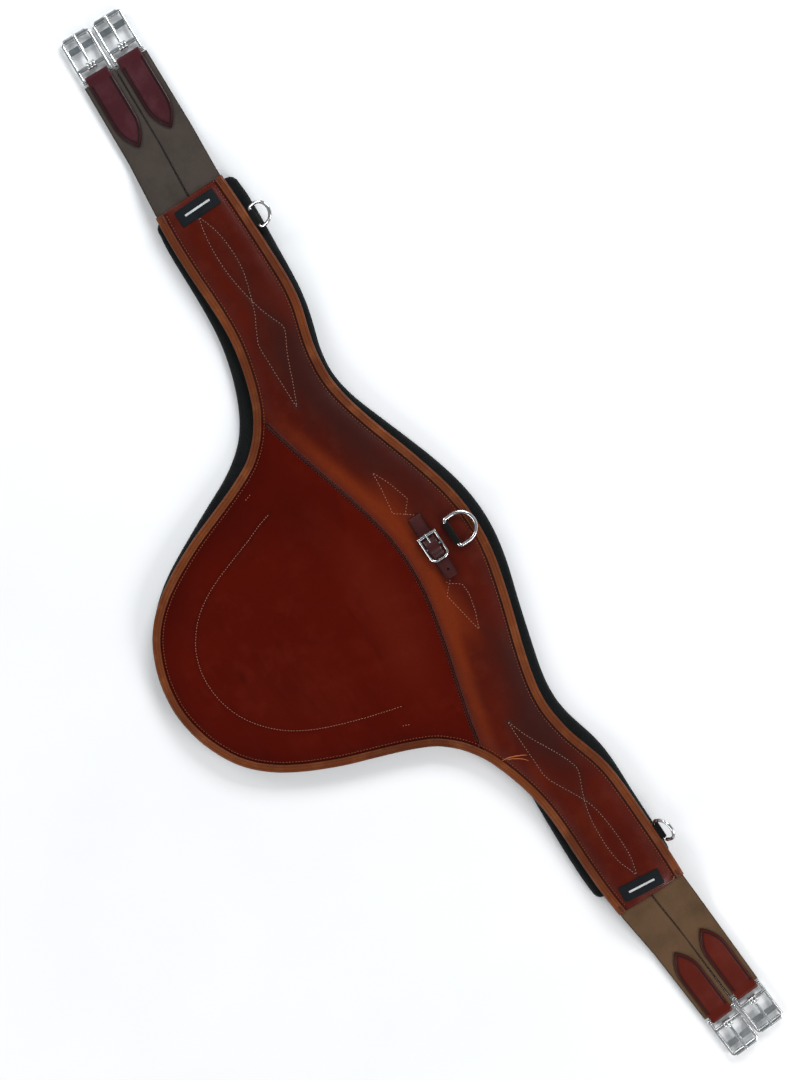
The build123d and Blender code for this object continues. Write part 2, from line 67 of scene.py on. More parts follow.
# ------------------------------------------------------------------ outlines (mm)
TOP = [(0, 54.4), (20, 53.5), (40, 50.9), (60, 46.4), (80, 41.0), (100, 35.2), (120, 28.8), (140, 22.6), (160, 17.0), (180, 12.4),
       (190, 10.8), (200, 9.9), (210, 9.8), (220, 10.8), (240, 13.9), (260, 19.6), (280, 25.8), (300, 29.4), (320, 30.8), (340, 31.3),
       (360, 31.6), (380, 31.9), (400, 32.0), (420, 31.8), (435.5, 31.2)]
BOTTOM = [(0, -319.9), (19.7, -318.2), (35.8, -315), (51.3, -310), (72.6, -300), (86.8, -290), (97.6, -280), (106.0, -270), (113.3, -260),
          (124.9, -240), (134.5, -220), (143.1, -200), (150.2, -180), (157.3, -160), (164.7, -140), (173.5, -120), (179, -110),
          (187.4, -100), (197.5, -90), (210, -81.3), (220, -75.3), (240, -67.5), (260, -61.5), (280, -56.9), (300, -54.3), (320, -53.3),
          (340, -53.2), (360, -53.4), (380, -53.2), (400, -52.7), (420, -51.3), (435.5, -49.9)]
SEAM = [(0, -29.0), (20, -29.8), (40, -32.0), (70, -38.3), (100, -45.8), (120, -51.3), (150, -59.8), (170, -65.2), (190, -69.8), (205, -73.0),
        (225, -76.5), (250, -80.0)]
LINER_TOP = [(-420, 41.4), (-412.6, 42.2), (-393.2, 41.6), (-373.8, 40.5), (-354.3, 39.0), (-334.8, 37.4), (-315.3, 35.9), (-295.7, 33.7), (-276.1, 29.8),
             (-256.5, 24.1), (-236.9, 17.6), (-217.2, 13.9), (-207.4, 13.4), (-197.5, 13.8), (-177.8, 17.3), (-158.1, 23.3), (-138.3, 30.3),
             (-118.5, 37.3), (-98.6, 44.2), (-78.8, 50.8), (-58.9, 56.5), (-38.9, 61.2), (-19.0, 64.0), (1.0, 64.9), (21.0, 63.7), (41.1, 60.5),
             (61.1, 55.7), (81.2, 49.7), (101.4, 43.5), (121.5, 37.8), (141.7, 32.2), (162.0, 26.6), (182.2, 22.1), (202.5, 20.0),
             (222.8, 21.4), (243.2, 26.2), (263.5, 31.5), (284.0, 34.2), (304.4, 34.6), (324.9, 34.0), (345.4, 33.7), (365.9, 33.7),
             (386.4, 33.5), (400, 33.0)]
LINER_BOTTOM = [(-420, -55.5), (-412.6, -56.9), (-393.2, -58.4), (-373.8, -59.1), (-354.3, -59.8), (-334.8, -60.8), (-315.3, -62.3),
                (-295.7, -65.0), (-276.1, -69.5), (-256.5, -75.5), (-236.9, -83.4), (-217.2, -93.8), (-197.5, -109.5), (-177.8, -137.0),
                (-158.1, -179.1), (-140.5, -216.0), (-126.5, -243.0), (-112.0, -264.5), (-95.0, -283.0), (-72.0, -300.5), (-48.0, -311.5), (-20.0, -318.0),
                (0.0, -319.6), (20.0, -318.0), (48.0, -310.0), (72.0, -298.0), (95.0, -280.5), (113.0, -257.0), (126.0, -234.0), (140.0, -203.0),
                (152.5, -168.0), (163.0, -138.0), (175.0, -112.5), (190.0, -93.5), (210.0, -78.5), (232.0, -67.5), (255.0, -59.8), (273.7, -57.0), (288.0, -57.4),
                (304.4, -58.4), (324.9, -59.5), (345.4, -60.4), (365.9, -60.8), (386.4, -60.9), (400, -60.2)]
LINER_X0, LINER_X1 = -432.0, 412.5
STRAPS = {
    "left_front": dict(side=-1, y0=10.7, base=(-588.6, 19.1), angle=2.6, w1=37.0),
    "left_rear": dict(side=-1, y0=-28.7, base=(-590.4, -18.4), angle=2.9, w1=36.6),
    "right_front": dict(side=1, y0=10.4, base=(582.0, 18.1), angle=3.0, w1=34.6),
    "right_rear": dict(side=1, y0=-29.2, base=(588.6, -18.1), angle=3.4, w1=34.6),
}
HALF = 435.5
Z_BAR = 4.6


def resample(points, step):
    pts = [np.array(p, float) for p in points]
    out, n = [], len(pts)
    for i in range(n - 1):
        p0, p1, p2, p3 = pts[max(i - 1, 0)], pts[i], pts[i + 1], pts[min(i + 2, n - 1)]
        m = max(1, round(float(np.linalg.norm(p2 - p1)) / step))
        for k in range(m):
            t = k / m
            out.append(0.5 * (2 * p1 + (p2 - p0) * t + (2 * p0 - 5 * p1 + 4 * p2 - p3) * t * t + (3 * p1 - p0 - 3 * p2 + p3) * t ** 3))
    out.append(pts[-1])
    return np.array(out)


def relax(p, rounds):
    p = p.copy()
    for _ in range(rounds):
        p[1:-1] = (p[:-2] + 2 * p[1:-1] + p[2:]) / 4
    return p


def mirrored(half):
    return [(-x, y) for x, y in reversed(half[1:])] + list(half)


def even(p, step):
    """Points spaced evenly along a polyline."""
    p = np.asarray(p, float)
    s = np.r_[0, np.cumsum(np.linalg.norm(np.diff(p, axis=0), axis=1))]
    n = max(2, int(round(s[-1] / step)) + 1)
    t = np.linspace(0, s[-1], n)
    return np.stack([np.interp(t, s, p[:, i]) for i in range(p.shape[1])], 1)


def normals2(p, closed=False):
    """Unit normals to the left of the travel direction."""
    if closed:
        t = np.roll(p, -1, 0) - np.roll(p, 1, 0)
    else:
        t = np.gradient(p, axis=0)
    t /= np.linalg.norm(t, axis=1)[:, None] + 1e-12
    return np.stack([-t[:, 1], t[:, 0]], 1)


TOP_C = relax(resample(mirrored(TOP), 3), 8)
BOT_C = relax(resample(mirrored(BOTTOM), 3), 8)
SEAM_C = relax(resample(mirrored(SEAM), 3), 8)
LT_C = relax(resample(LINER_TOP, 3), 8)
LB_C = relax(resample(LINER_BOTTOM, 3), 8)
TOP_C[0, 0], TOP_C[-1, 0], BOT_C[0, 0], BOT_C[-1, 0] = -HALF, HALF, -HALF, HALF


def moved(p, d):
    return p + normals2(p) * d


def dist(P, line, chunk=4000):
    """Distance from each point to a polyline."""
    a, b = line[:-1], line[1:]
    ab = b - a
    L = (ab ** 2).sum(1) + 1e-12
    out = np.empty(len(P))
    for i in range(0, len(P), chunk):
        q = P[i:i + chunk, None, :]
        t = np.clip(((q - a) * ab).sum(2) / L, 0, 1)
        out[i:i + chunk] = np.sqrt((((q - a) - t[..., None] * ab) ** 2).sum(2)).min(1)
    return out


def corner(x, ya, yb, r, side, n=8):
    """Rounded end at x, from ya to yb, as points. side is +1 for the right end."""
    s = 1 if yb > ya else -1
    out = [(x - side * r * (1 - math.sin(a)), ya + s * r * (1 - math.cos(a))) for a in np.linspace(0, math.pi / 2, n)]
    out += [(x - side * r * (1 - math.cos(a)), yb - s * r * (1 - math.sin(a))) for a in np.linspace(0, math.pi / 2, n)]
    return np.array(out)


def body_outline(d, end_d, r):
    """Closed outline, counter-clockwise, inset d along the long edges and end_d at the two ends."""
    b, t = moved(BOT_C, d), moved(TOP_C, -d)
    x1 = HALF - end_d
    b = b[np.abs(b[:, 0]) < x1 - r - 1]
    t = t[np.abs(t[:, 0]) < x1 - r - 1][::-1]
    return np.concatenate([b, corner(x1, b[-1, 1], t[0, 1], r, 1), t, corner(-x1, t[-1, 1], b[0, 1], r, -1)])


def liner_outline(d):
    b, t = moved(LB_C, d), moved(LT_C, -d)[::-1]
    return np.concatenate([b, corner(LINER_X1 - d, b[-1, 1], t[0, 1], 9, 1), t, corner(LINER_X0 + d, t[-1, 1], b[0, 1], 9, -1)])


EDGES = [TOP_C, BOT_C]


def edge_dist(P):
    return np.minimum(dist(P, TOP_C), dist(P, BOT_C))


SEAM_Y = lambda x: np.interp(x, SEAM_C[:, 0], SEAM_C[:, 1])

# ------------------------------------------------------------------ decorative stitch lines (mm)


def sm(points, step=2.0, rounds=3):
    return relax(even(resample(points, 3), step), rounds)


LEFT_A = sm([(-412, -12), (-398, -7), (-385, -4), (-364, -2.6), (-344, -4.2), (-325, -9.5), (-312, -14.1), (-300, -18.4), (-286, -26), (-272, -33.2), (-268, -34), (-247, -34.9), (-217, -35.8), (-196, -36)], rounds=2)
LEFT_B = sm([(-412, -12), (-398, -15.5), (-383, -18), (-364, -19.4), (-344, -18.9), (-325, -16.5), (-312, -14.1), (-300, -11.5), (-286, -6.6), (-273, -1.7), (-266, -3.5), (-247, -13.7), (-217, -26.5), (-196, -36)], rounds=2)
RIGHT_A = sm([(197, -34.6), (223, -25), (253, -9.9), (275, -1.4), (284, -2.2), (299, -8.6), (311, -13), (325, -17), (340, -19.4), (366, -20.5), (386, -18.5), (397, -14.5), (408, -11)], rounds=2)
RIGHT_B = sm([(197, -34.6), (223, -34.6), (248, -34.2), (268, -33.4), (284, -26.5), (299, -18.6), (311, -13), (325, -8.4), (345, -5.8), (366, -4.8), (386, -5.3), (400, -8.4), (408, -11)], rounds=2)
DIA_L = even([(-97.1, -8.4), (-77.6, 0.2), (-54.6, 6.7), (-42.4, -4.1), (-40.0, -6.8)], 2.0)
DIA_L2 = even([(-97.1, -8.4), (-86.7, -9.4), (-76.3, -10.4), (-62.8, -12.4), (-50.3, -14.5), (-43.4, -5.2), (-36.3, 4.0)], 2.0)
DIA_R = even([(99.9, -6.1), (80.9, 1.2), (63.9, 5.5), (50.6, 5.5), (42.9, -5.1), (37.0, -9.2)], 2.0)
DIA_R2 = even([(99.9, -6.1), (75.1, -10.7), (52.2, -14.7), (45.7, -8.7), (39.4, -2.4)], 2.0)
U_LINE = sm([(-120.5, -121.5), (-116, -137.5), (-109.5, -154.5), (-104, -171.4), (-98.8, -187.4), (-91.7, -207.4), (-81.8, -227.4), (-68.8, -245.0), (-50, -260.8), (-34, -268.6), (-19, -272.6), (0, -273.8), (21, -270.8), (41, -263.2), (61, -249.5), (79, -230.4), (93, -206.5), (103.6, -180.6), (112, -155.6), (119, -131.5), (123, -116.4)])
TICK_L = sm([(-148.2, -125.4), (-145.2, -135.4)], 1.0, 0)
TICK_R = sm([(143.8, -120.5), (139.7, -130.6)], 1.0, 0)
BAND_STITCH = [LEFT_A, LEFT_B, RIGHT_A, RIGHT_B, DIA_L, DIA_L2, DIA_R, DIA_R2]

# ------------------------------------------------------------------ surface heights (mm)


def wav(P, seed, size):
    """A smooth made-up ripple between -1 and 1."""
    r = np.random.default_rng(seed)
    out = np.zeros(len(P))
    for k in range(7):
        a, f, ph = r.uniform(0, 2 * math.pi), r.uniform(0.6, 1.7) / size, r.uniform(0, 6.28)
        out += np.sin((P[:, 0] * math.cos(a) + P[:, 1] * math.sin(a)) * f * 2 * math.pi + ph)
    return out / 4.0


def band_height(P):
    d = edge_dist(P)
    e = np.maximum(d - 9.6, 0)
    es = np.maximum(P[:, 1] - SEAM_Y(P[:, 0]), 0)
    end = np.maximum(HALF - np.abs(P[:, 0]), 0)
    f = 1 - np.exp(-(e / 9.0) ** 1.6)
    g = 0.12 + 0.88 * (1 - np.exp(-(es / 9.0) ** 1.35))
    q = 1 - 0.72 * np.exp(-(end / 7.0) ** 1.5)
    h = 3.6 * f * g * q
    quilt = np.ones(len(P))
    for line in BAND_STITCH:
        near = (P[:, 0] > line[:, 0].min() - 15) & (P[:, 0] < line[:, 0].max() + 15)
        if near.any():
            ds = dist(P[near], line)
            w = 0.7 if abs(line[:, 0].mean()) > 150 else 0.35
            quilt[near] -= w * (0.20 * np.exp(-(ds / 1.7) ** 2) + 0.14 * np.exp(-(ds / 6.0) ** 2))
    h = h * np.clip(quilt, 0.35, 1)
    # gathers where the padding turns the waist of the band
    waist = np.exp(-((np.abs(P[:, 0]) - 210) / 55) ** 2)
    h -= 0.18 * (1 + wav(P, 3, 75)) * f * g * (0.35 + waist)
    h -= 0.35 * waist * np.exp(-(e / 14) ** 2) * (1 + np.sin(P[:, 0] / 5.2 + 1.2 * np.sin(P[:, 0] / 17)))*0.5
    return 15.75 + np.maximum(h, -0.2) - 0.25 * np.exp(-((d - 11.4) / 0.9) ** 2)


def belly_height(P):
    d = edge_dist(P)
    e = np.maximum(d - 10.5, 0)
    es = np.maximum(SEAM_Y(P[:, 0]) - P[:, 1], 0)
    e = np.maximum(d - 9.4, 0)
    h = 15.75 + 0.25 * (1 - np.exp(-e / 3.0)) - 0.22 * np.exp(-((d - 11.4) / 0.9) ** 2) + 1.1 * (1 - np.exp(-(e / 45) ** 1.6)) * (1 - np.exp(-(es / 40) ** 1.4))
    h += 0.22 * wav(P, 5, 95) * np.clip(e / 25, 0, 1)
    h -= 0.45 * np.exp(-((es - 2.6) / 0.8) ** 2)
    for line in (U_LINE, TICK_L, TICK_R):
        h -= 0.30 * np.exp(-(dist(P, line) / 1.0) ** 2)
    # shallow press mark, dent and scratch
    h -= 0.35 * np.exp(-(dist(P, np.array([(-73.8, -61.9), (-75.4, -69), (-72, -75)])) / 0.8) ** 2)
    h -= 0.25 * np.exp(-(((P[:, 0] - 6) / 6) ** 2 + ((P[:, 1] + 240) / 3) ** 2))
    return h


# ------------------------------------------------------------------ mesh builders


def new_object(name, verts_mm, faces, local=False):
    v = np.asarray(verts_mm, float).copy()
    if not local:
        v[:, 0] += SX
        v[:, 1] += SY
    me = bpy.data.meshes.new(name)
    me.from_pydata((v * 0.001).tolist(), [], [tuple(int(i) for i in f) for f in faces])
    me.validate()
    me.polygons.foreach_set("use_smooth", [True] * len(me.polygons))
    me.update()
    o = bpy.data.objects.new(name, me)
    bpy.context.scene.collection.objects.link(o)
    return o


def set_attr(o, name, values):
    a = o.data.attributes.new(name, "FLOAT", "POINT")
    a.data.foreach_set("value", np.asarray(values, np.float32))


def fill(outline, rings, grid, extra=None):
    """A triangulated region: outline, inward rings and a jittered grid. Returns points and triangles."""
    n = len(outline)
    nor = normals2(outline, closed=True)
    closed = np.vstack([outline, outline[:1]])
    pts = [outline]
    last = 0
    for d in rings:
        p = outline + nor * d
        keep = dist(p, closed) > d - 0.02 - 0.01 * d
        pts.append(p[keep])
        last = d
    x0, y0 = outline.min(0)
    x1, y1 = outline.max(0)
    xs, ys = np.arange(x0, x1, grid), np.arange(y0, y1, grid * 0.866)
    g = np.array([(x + (grid / 2 if j % 2 else 0), y) for j, y in enumerate(ys) for x in xs])
    g += RNG.uniform(-0.12, 0.12, g.shape) * grid
    # inside test by crossing number
    inside = np.zeros(len(g), bool)
    a, b = closed[:-1], closed[1:]
    for i in range(n):
        (ax, ay), (bx, by) = a[i], b[i]
        if ay == by:
            continue
        c = (ay > g[:, 1]) != (by > g[:, 1])
        inside ^= c & (g[:, 0] < (bx - ax) * (g[:, 1] - ay) / (by - ay) + ax)
    g = g[inside]
    g = g[dist(g, closed) > last + grid * 0.55]
    if extra is not None and len(extra):
        g = g[dist(g, extra[0]) > grid * 0.45] if len(extra) == 1 else g[np.min([dist(g, e) for e in extra], 0) > grid * 0.45]
        pts += list(extra)
    pts.append(g)
    P = np.vstack(pts)
    r = delaunay_2d_cdt([Vector(p) for p in P], [], [list(range(n))], 1, 1e-5)
    V = np.array([tuple(v) for v in r[0]])
    F = np.array([f for f in r[2] if len(f) == 3])
    return V, F


def slab_mesh(name, outline, rings, grid, top, bottom, extra=None):
    """A closed sheet whose upper and lower faces follow top(P) and bottom(P)."""
    V, F = fill(outline, rings, grid, extra)
    zt, zb = top(V), bottom(V)
    n = len(V)
    # triangles face up
    a, b, c = V[F[:, 0]], V[F[:, 1]], V[F[:, 2]]
    area = (b[:, 0] - a[:, 0]) * (c[:, 1] - a[:, 1]) - (b[:, 1] - a[:, 1]) * (c[:, 0] - a[:, 0])
    F[area < 0] = F[area < 0][:, ::-1]
    count = {}
    for f in F:
        for i in range(3):
            e = (int(f[i]), int(f[(i + 1) % 3]))
            count[e] = 1
    walls = []
    for (i, j) in count:
        if (j, i) not in count:
            walls += [(i, i + n, j + n, j)]
    verts = np.vstack([np.column_stack([V, zt]), np.column_stack([V, zb])])
    faces = [tuple(f) for f in F] + [tuple(x + n for x in f[::-1]) for f in F] + [w[::-1] if False else w for w in walls]
    o = new_object(name, verts, faces)
    return o, V


def strip_mesh(name, line, profile, side):
    """Sweeps a closed profile of (inset, z) along a long edge; side is the normal sign that points inwards."""
    nor = normals2(line) * side
    m = len(profile)
    verts, faces = [], []
    for p, q in zip(line, nor):
        for d, z in profile:
            verts.append((p[0] + q[0] * d, p[1] + q[1] * d, z))
    n = len(line)
    for i in range(n - 1):
        for j in range(m):
            k = (j + 1) % m
            f = (i * m + j, i * m + k, (i + 1) * m + k, (i + 1) * m + j)
            faces.append(f if side > 0 else f[::-1])
    cap0, cap1 = tuple(range(m)), tuple((n - 1) * m + j for j in range(m))
    faces.append(cap0[::-1] if side > 0 else cap0)
    faces.append(cap1 if side > 0 else cap1[::-1])
    return np.array(verts), faces


VPROF = [(-1, .42), (-.985, .78), (-.95, .96), (-.8, 1), (-.5, 1.02), (0, 1.03), (.5, 1.02), (.8, 1), (.95, .96), (.985, .78), (1, .42)]


def ribbon(path, wdir, half_w, thick, vprof=VPROF, end_thin=0.5):
    """A strap along path (3D mm), half_w(i) wide either side along wdir, with softened edges. Returns verts, faces, v of each vertex."""
    P = np.asarray(path, float)
    W = np.asarray(wdir, float)
    T = np.gradient(P, axis=0)
    T /= np.linalg.norm(T, axis=1)[:, None]
    Nn = np.cross(T, W if W.ndim == 2 else np.tile(W, (len(P), 1)))
    Nn /= np.linalg.norm(Nn, axis=1)[:, None]
    Wd = W if W.ndim == 2 else np.tile(W, (len(P), 1))
    m = len(vprof)
    verts, vv = [], []
    n = len(P)
    for i in range(n):
        hw = half_w[i] if hasattr(half_w, "__len__") else half_w
        ends = end_thin if i in (0, n - 1) else 1
        for v, k in vprof:
            verts.append(P[i] + Wd[i] * hw * v + Nn[i] * thick / 2 * k * ends)
            vv.append(v)
        for v, k in reversed(vprof):
            verts.append(P[i] + Wd[i] * hw * v - Nn[i] * thick / 2 * k * ends)
            vv.append(v)
    faces = []
    M = 2 * m
    for i in range(n - 1):
        for j in range(M):
            k = (j + 1) % M
            faces.append((i * M + j, i * M + k, (i + 1) * M + k, (i + 1) * M + j))
    for i, flip in ((0, False), (n - 1, True)):
        for j in range(m - 1):
            f = (i * M + j, i * M + M - 1 - j, i * M + M - 2 - j, i * M + j + 1)
            faces.append(f[::-1] if flip else f)
    return np.array(verts), faces, np.array(vv)


def fix_normals(o):
    import bmesh
    bm = bmesh.new()
    bm.from_mesh(o.data)
    bmesh.ops.recalc_face_normals(bm, faces=bm.faces)
    bm.to_mesh(o.data)
    bm.free()


def tubes(segments, r, sides=6, bulge=0.0):
    """Short closed stitches: each segment is a list of points, thinner at both ends."""
    verts, faces = [], []
    for seg in segments:
        seg = np.asarray(seg, float)
        n = len(seg)
        T = np.gradient(seg, axis=0)
        T /= np.linalg.norm(T, axis=1)[:, None] + 1e-9
        up = np.array([0, 0, 1.0])
        base = len(verts)
        for i in range(n):
            s = np.cross(T[i], up)
            s /= np.linalg.norm(s) + 1e-9
            u = np.cross(s, T[i])
            k = r * (0.62 if i in (0, n - 1) else 1.0)
            for a in range(sides):
                t = 2 * math.pi * a / sides
                verts.append(seg[i] + s * math.cos(t) * k + u * math.sin(t) * k * 0.85)
        for i in range(n - 1):
            for a in range(sides):
                b = (a + 1) % sides
                faces.append((base + i * sides + a, base + i * sides + b, base + (i + 1) * sides + b, base + (i + 1) * sides + a))
        faces.append(tuple(base + a for a in range(sides))[::-1])
        faces.append(tuple(base + (n - 1) * sides + a for a in range(sides)))
    return np.array(verts), faces


def stitch_line(line, height, pitch, length, sink=0.12, lift=0.30, jitter=0.12):
    """Stitch segments along a plan line, lying on height(P)."""
    line = np.asarray(line, float)
    s = np.r_[0, np.cumsum(np.linalg.norm(np.diff(line, axis=0), axis=1))]
    segs, allp = [], []
    t = pitch * 0.4
    while t + length < s[-1]:
        q = t + np.array([0, 0.25, 0.5, 0.75, 1.0]) * length
        p = np.stack([np.interp(q, s, line[:, 0]), np.interp(q, s, line[:, 1])], 1)
        p += RNG.normal(0, jitter * 0.5, 2)
        allp.append(p)
        t += pitch * (1 + RNG.uniform(-0.06, 0.06))
    if not allp:
        return []
    P = np.vstack(allp)
    z = height(P).reshape(-1, 5)
    arch = np.array([-sink, lift * 0.7, lift, lift * 0.7, -sink])
    for p, zz in zip(allp, z):
        segs.append(np.column_stack([p, zz + arch]))
    return segs


# ------------------------------------------------------------------ materials


def lin(c):
    out = []
    for v in c:
        v = v / 255.0
        out.append(v / 12.92 if v <= 0.04045 else ((v + 0.055) / 1.055) ** 2.4)
    return (*out, 1.0)


class Mat:
    def __init__(self, name):
        self.m = bpy.data.materials.new(name)
        self.m.use_nodes = True
        self.nt = self.m.node_tree
        self.b = self.nt.nodes["Principled BSDF"]
        self.co = self.new("ShaderNodeTexCoord").outputs["Object"]

    def new(self, kind, **inputs):
        n = self.nt.nodes.new(kind)
        for k, v in inputs.items():
            self.put(n, k, v)
        return n

    def put(self, n, key, v):
        s = n.inputs[key] if key in n.inputs else n.inputs[int(key[1:])] if key[0] == "i" and key[1:].isdigit() else n.inputs[key.replace("_", " ")]
        if isinstance(v, bpy.types.NodeSocket):
            self.nt.links.new(v, s)
        else:
            s.default_value = v

    def scaled(self, sx, sy, sz, rot=0.0):
        mp = self.new("ShaderNodeMapping")
        self.nt.links.new(self.co, mp.inputs["Vector"])
        mp.inputs["Scale"].default_value = (sx, sy, sz)
        mp.inputs["Rotation"].default_value = (0, 0, rot)
        return mp.outputs["Vector"]

    def noise(self, scale, detail=4, rough=0.55, vec=None, dist=0.0):
        n = self.new("ShaderNodeTexNoise", Scale=scale, Detail=detail, Roughness=rough, Distortion=dist)
        self.nt.links.new(vec if vec is not None else self.co, n.inputs["Vector"])
        return n.outputs["Fac"]

    def voronoi(self, scale, feature="F1", vec=None, out="Distance"):
        n = self.new("ShaderNodeTexVoronoi", Scale=scale)
        n.feature = feature
        self.nt.links.new(vec if vec is not None else self.co, n.inputs["Vector"])
        return n.outputs[out]

    def wave(self, scale, direction="X", vec=None, distortion=0.0, profile="SIN"):
        n = self.new("ShaderNodeTexWave", Scale=scale, Distortion=distortion)
        n.bands_direction = direction
        n.wave_profile = profile
        self.nt.links.new(vec if vec is not None else self.co, n.inputs["Vector"])
        return n.outputs["Fac"]

    def ramp(self, fac, lo, hi, a=0.0, b=1.0):
        n = self.new("ShaderNodeMapRange")
        n.clamp = True
        self.nt.links.new(fac, n.inputs["Value"])
        n.inputs["From Min"].default_value, n.inputs["From Max"].default_value = lo, hi
        n.inputs["To Min"].default_value, n.inputs["To Max"].default_value = a, b
        return n.outputs["Result"]

    def mix(self, fac, a, b, blend="MIX"):
        n = self.nt.nodes.new("ShaderNodeMix")
        n.data_type, n.blend_type = "RGBA", blend
        for s, v in ((n.inputs[0], fac), (n.inputs[6], a), (n.inputs[7], b)):
            if isinstance(v, bpy.types.NodeSocket):
                self.nt.links.new(v, s)
            else:
                s.default_value = v
        return n.outputs[2]

    def math(self, op, a, b=0.0):
        n = self.nt.nodes.new("ShaderNodeMath")
        n.operation = op
        for s, v in ((n.inputs[0], a), (n.inputs[1], b)):
            if isinstance(v, bpy.types.NodeSocket):
                self.nt.links.new(v, s)
            else:
                s.default_value = v
        return n.outputs[0]

    def attr(self, name):
        n = self.nt.nodes.new("ShaderNodeAttribute")
        n.attribute_name = name
        return n.outputs["Fac"]

    def bump(self, pairs):
        """pairs of (height socket, distance in metres)."""
        last = None
        for h, d in pairs:
            n = self.new("ShaderNodeBump")
            n.inputs["Strength"].default_value = 1.0
            n.inputs["Distance"].default_value = d
            self.nt.links.new(h, n.inputs["Height"])
            if last is not None:
                self.nt.links.new(last, n.inputs["Normal"])
            last = n.outputs["Normal"]
        self.nt.links.new(last, self.b.inputs["Normal"])

    def link(self, sock, key):
        self.nt.links.new(sock, self.b.inputs[key])
        return self


def leather(name, base, dark, light, rough=(0.28, 0.46), coat=0.25, grain=0.00008, zones=False, edge=None, mottled=0.5, spec=0.15):
    m = Mat(name)
    big = m.noise(9, 5, 0.6, dist=0.4)
    mid = m.noise(45, 4, 0.6)
    fine = m.noise(420, 3, 0.6)
    col = m.mix(m.ramp(big, 0.35, 0.70, 0, mottled), lin(base), lin(dark))
    col = m.mix(m.ramp(mid, 0.50, 0.72, 0, 0.45), col, lin(light))
    if zones:
        # the dark attribute holds darker patches and painted shade in grooves
        col = m.mix(m.ramp(m.math("ADD", m.attr("dark"), m.math("MULTIPLY", m.math("SUBTRACT", mid, 0.5), 0.5)), 0.12, 0.9, 0, 0.85), col, lin(zones[0]))
        col = m.mix(m.ramp(m.math("ADD", m.attr("glow"), m.math("MULTIPLY", m.math("SUBTRACT", big, 0.5), 0.6)), 0.10, 0.95, 0, 0.85), col, lin(zones[1]))
        # rubbed streaks along the band
        streak = m.noise(26, 4, 0.6, vec=m.scaled(0.35, 1.6, 1), dist=0.6)
        col = m.mix(m.ramp(streak, 0.56, 0.74, 0, 0.35), col, lin(zones[0]))
    if edge:
        # the edge attribute holds painted groove shade on the binding and chapes
        col = m.mix(m.attr("edge"), col, lin(edge))
    col = m.mix(m.ramp(fine, 0.40, 0.75, 0, 0.22), col, lin(dark))
    m.link(col, "Base Color")
    m.link(m.ramp(m.math("ADD", m.math("MULTIPLY", mid, 0.6), m.math("MULTIPLY", fine, 0.4)), 0.35, 0.65, rough[0], rough[1]), "Roughness")
    m.b.inputs["Coat Weight"].default_value = coat
    m.b.inputs["Coat Roughness"].default_value = 0.17
    m.b.inputs["Specular IOR Level"].default_value = spec
    pores = m.voronoi(900, "DISTANCE_TO_EDGE")
    m.bump([(m.noise(60, 3, 0.5), grain * 1.3), (m.ramp(pores, 0.0, 0.25, 0, 1), grain * 0.22)])
    return m.m


def cloth(name, base, light, kind="knit", scale=1.0, rough=0.9, sheen=0.25, depth=0.00018):
    m = Mat(name)
    n1 = m.noise(30 * scale, 5, 0.65)
    n2 = m.noise(500 * scale, 3, 0.7)
    if kind == "rib":       # ribs across the strap, fine cords along it
        ribs = m.wave(230 * scale, "X", distortion=0.4)
        cords = m.wave(200 * scale, "Y", distortion=0.6)
        h = m.math("ADD", m.math("MULTIPLY", ribs, 0.7), m.math("MULTIPLY", cords, 0.5))
    elif kind == "weave":
        ribs = m.wave(250 * scale, "X", distortion=0.3)
        cords = m.wave(250 * scale, "Y", distortion=0.3)
        h = m.math("MULTIPLY", ribs, cords)
    else:                   # brushed knit
        ribs = m.voronoi(620 * scale)
        h = m.math("ADD", m.math("MULTIPLY", ribs, 0.8), m.math("MULTIPLY", n2, 0.7))
    col = m.mix(m.ramp(h, 0.2, 0.9, 0, 0.75), lin(base), lin(light))
    col = m.mix(m.ramp(n1, 0.42, 0.72, 0, 0.5), col, lin(tuple(c * 0.72 for c in base)))
    # rib cloth: darker by the edge attribute, painted shade along the elastics' edges
    if kind == "rib":
        col = m.mix(m.attr("edge"), col, lin(tuple(c * 0.35 for c in base)))
    m.link(col, "Base Color")
    m.link(m.ramp(n2, 0.3, 0.7, rough - 0.08, min(1.0, rough + 0.06)), "Roughness")
    m.b.inputs["Sheen Weight"].default_value = sheen
    m.b.inputs["Sheen Roughness"].default_value = 0.5
    m.b.inputs["Specular IOR Level"].default_value = 0.12
    m.bump([(h, depth), (n2, depth * 0.5)])
    return m.m


def steel(name):
    m = Mat(name)
    n = m.noise(90, 3, 0.5)
    s = m.noise(60, 3, 0.5)
    col = m.mix(m.ramp(n, 0.35, 0.7, 0, 1), lin((222, 224, 225)), lin((192, 192, 190)))
    m.link(col, "Base Color")
    m.b.inputs["Metallic"].default_value = 1.0
    m.link(m.ramp(s, 0.3, 0.75, 0.13, 0.24), "Roughness")
    return m.m


M_BAND = leather("band_leather", (79, 17, 3), (58, 9, 2), (94, 29, 9), (0.22, 0.34), 0.22, zones=((48, 20, 16), (112, 40, 10)), mottled=0.75, spec=0.10)
M_BELLY = leather("belly_leather", (77, 12, 3), (65, 8, 2), (87, 19, 7), (0.26, 0.38), 0.0, zones=((57, 6, 2), (99, 30, 16)), mottled=0.6, spec=0.07)
M_BIND = leather("tan_binding", (110, 55, 24), (78, 34, 15), (140, 80, 42), (0.30, 0.46), 0.05, edge=(46, 17, 9), mottled=0.9)
M_WELT = leather("welt_leather", (50, 13, 8), (34, 8, 5), (66, 22, 13), (0.32, 0.46), 0.0)
M_LINING = leather("lining_leather", (138, 82, 50), (112, 62, 38), (158, 100, 66), (0.55, 0.75), 0.0)
M_STRAP = leather("dark_strap", (66, 29, 28), (46, 18, 19), (80, 42, 40), (0.26, 0.40), 0.2, edge=(26, 10, 10))
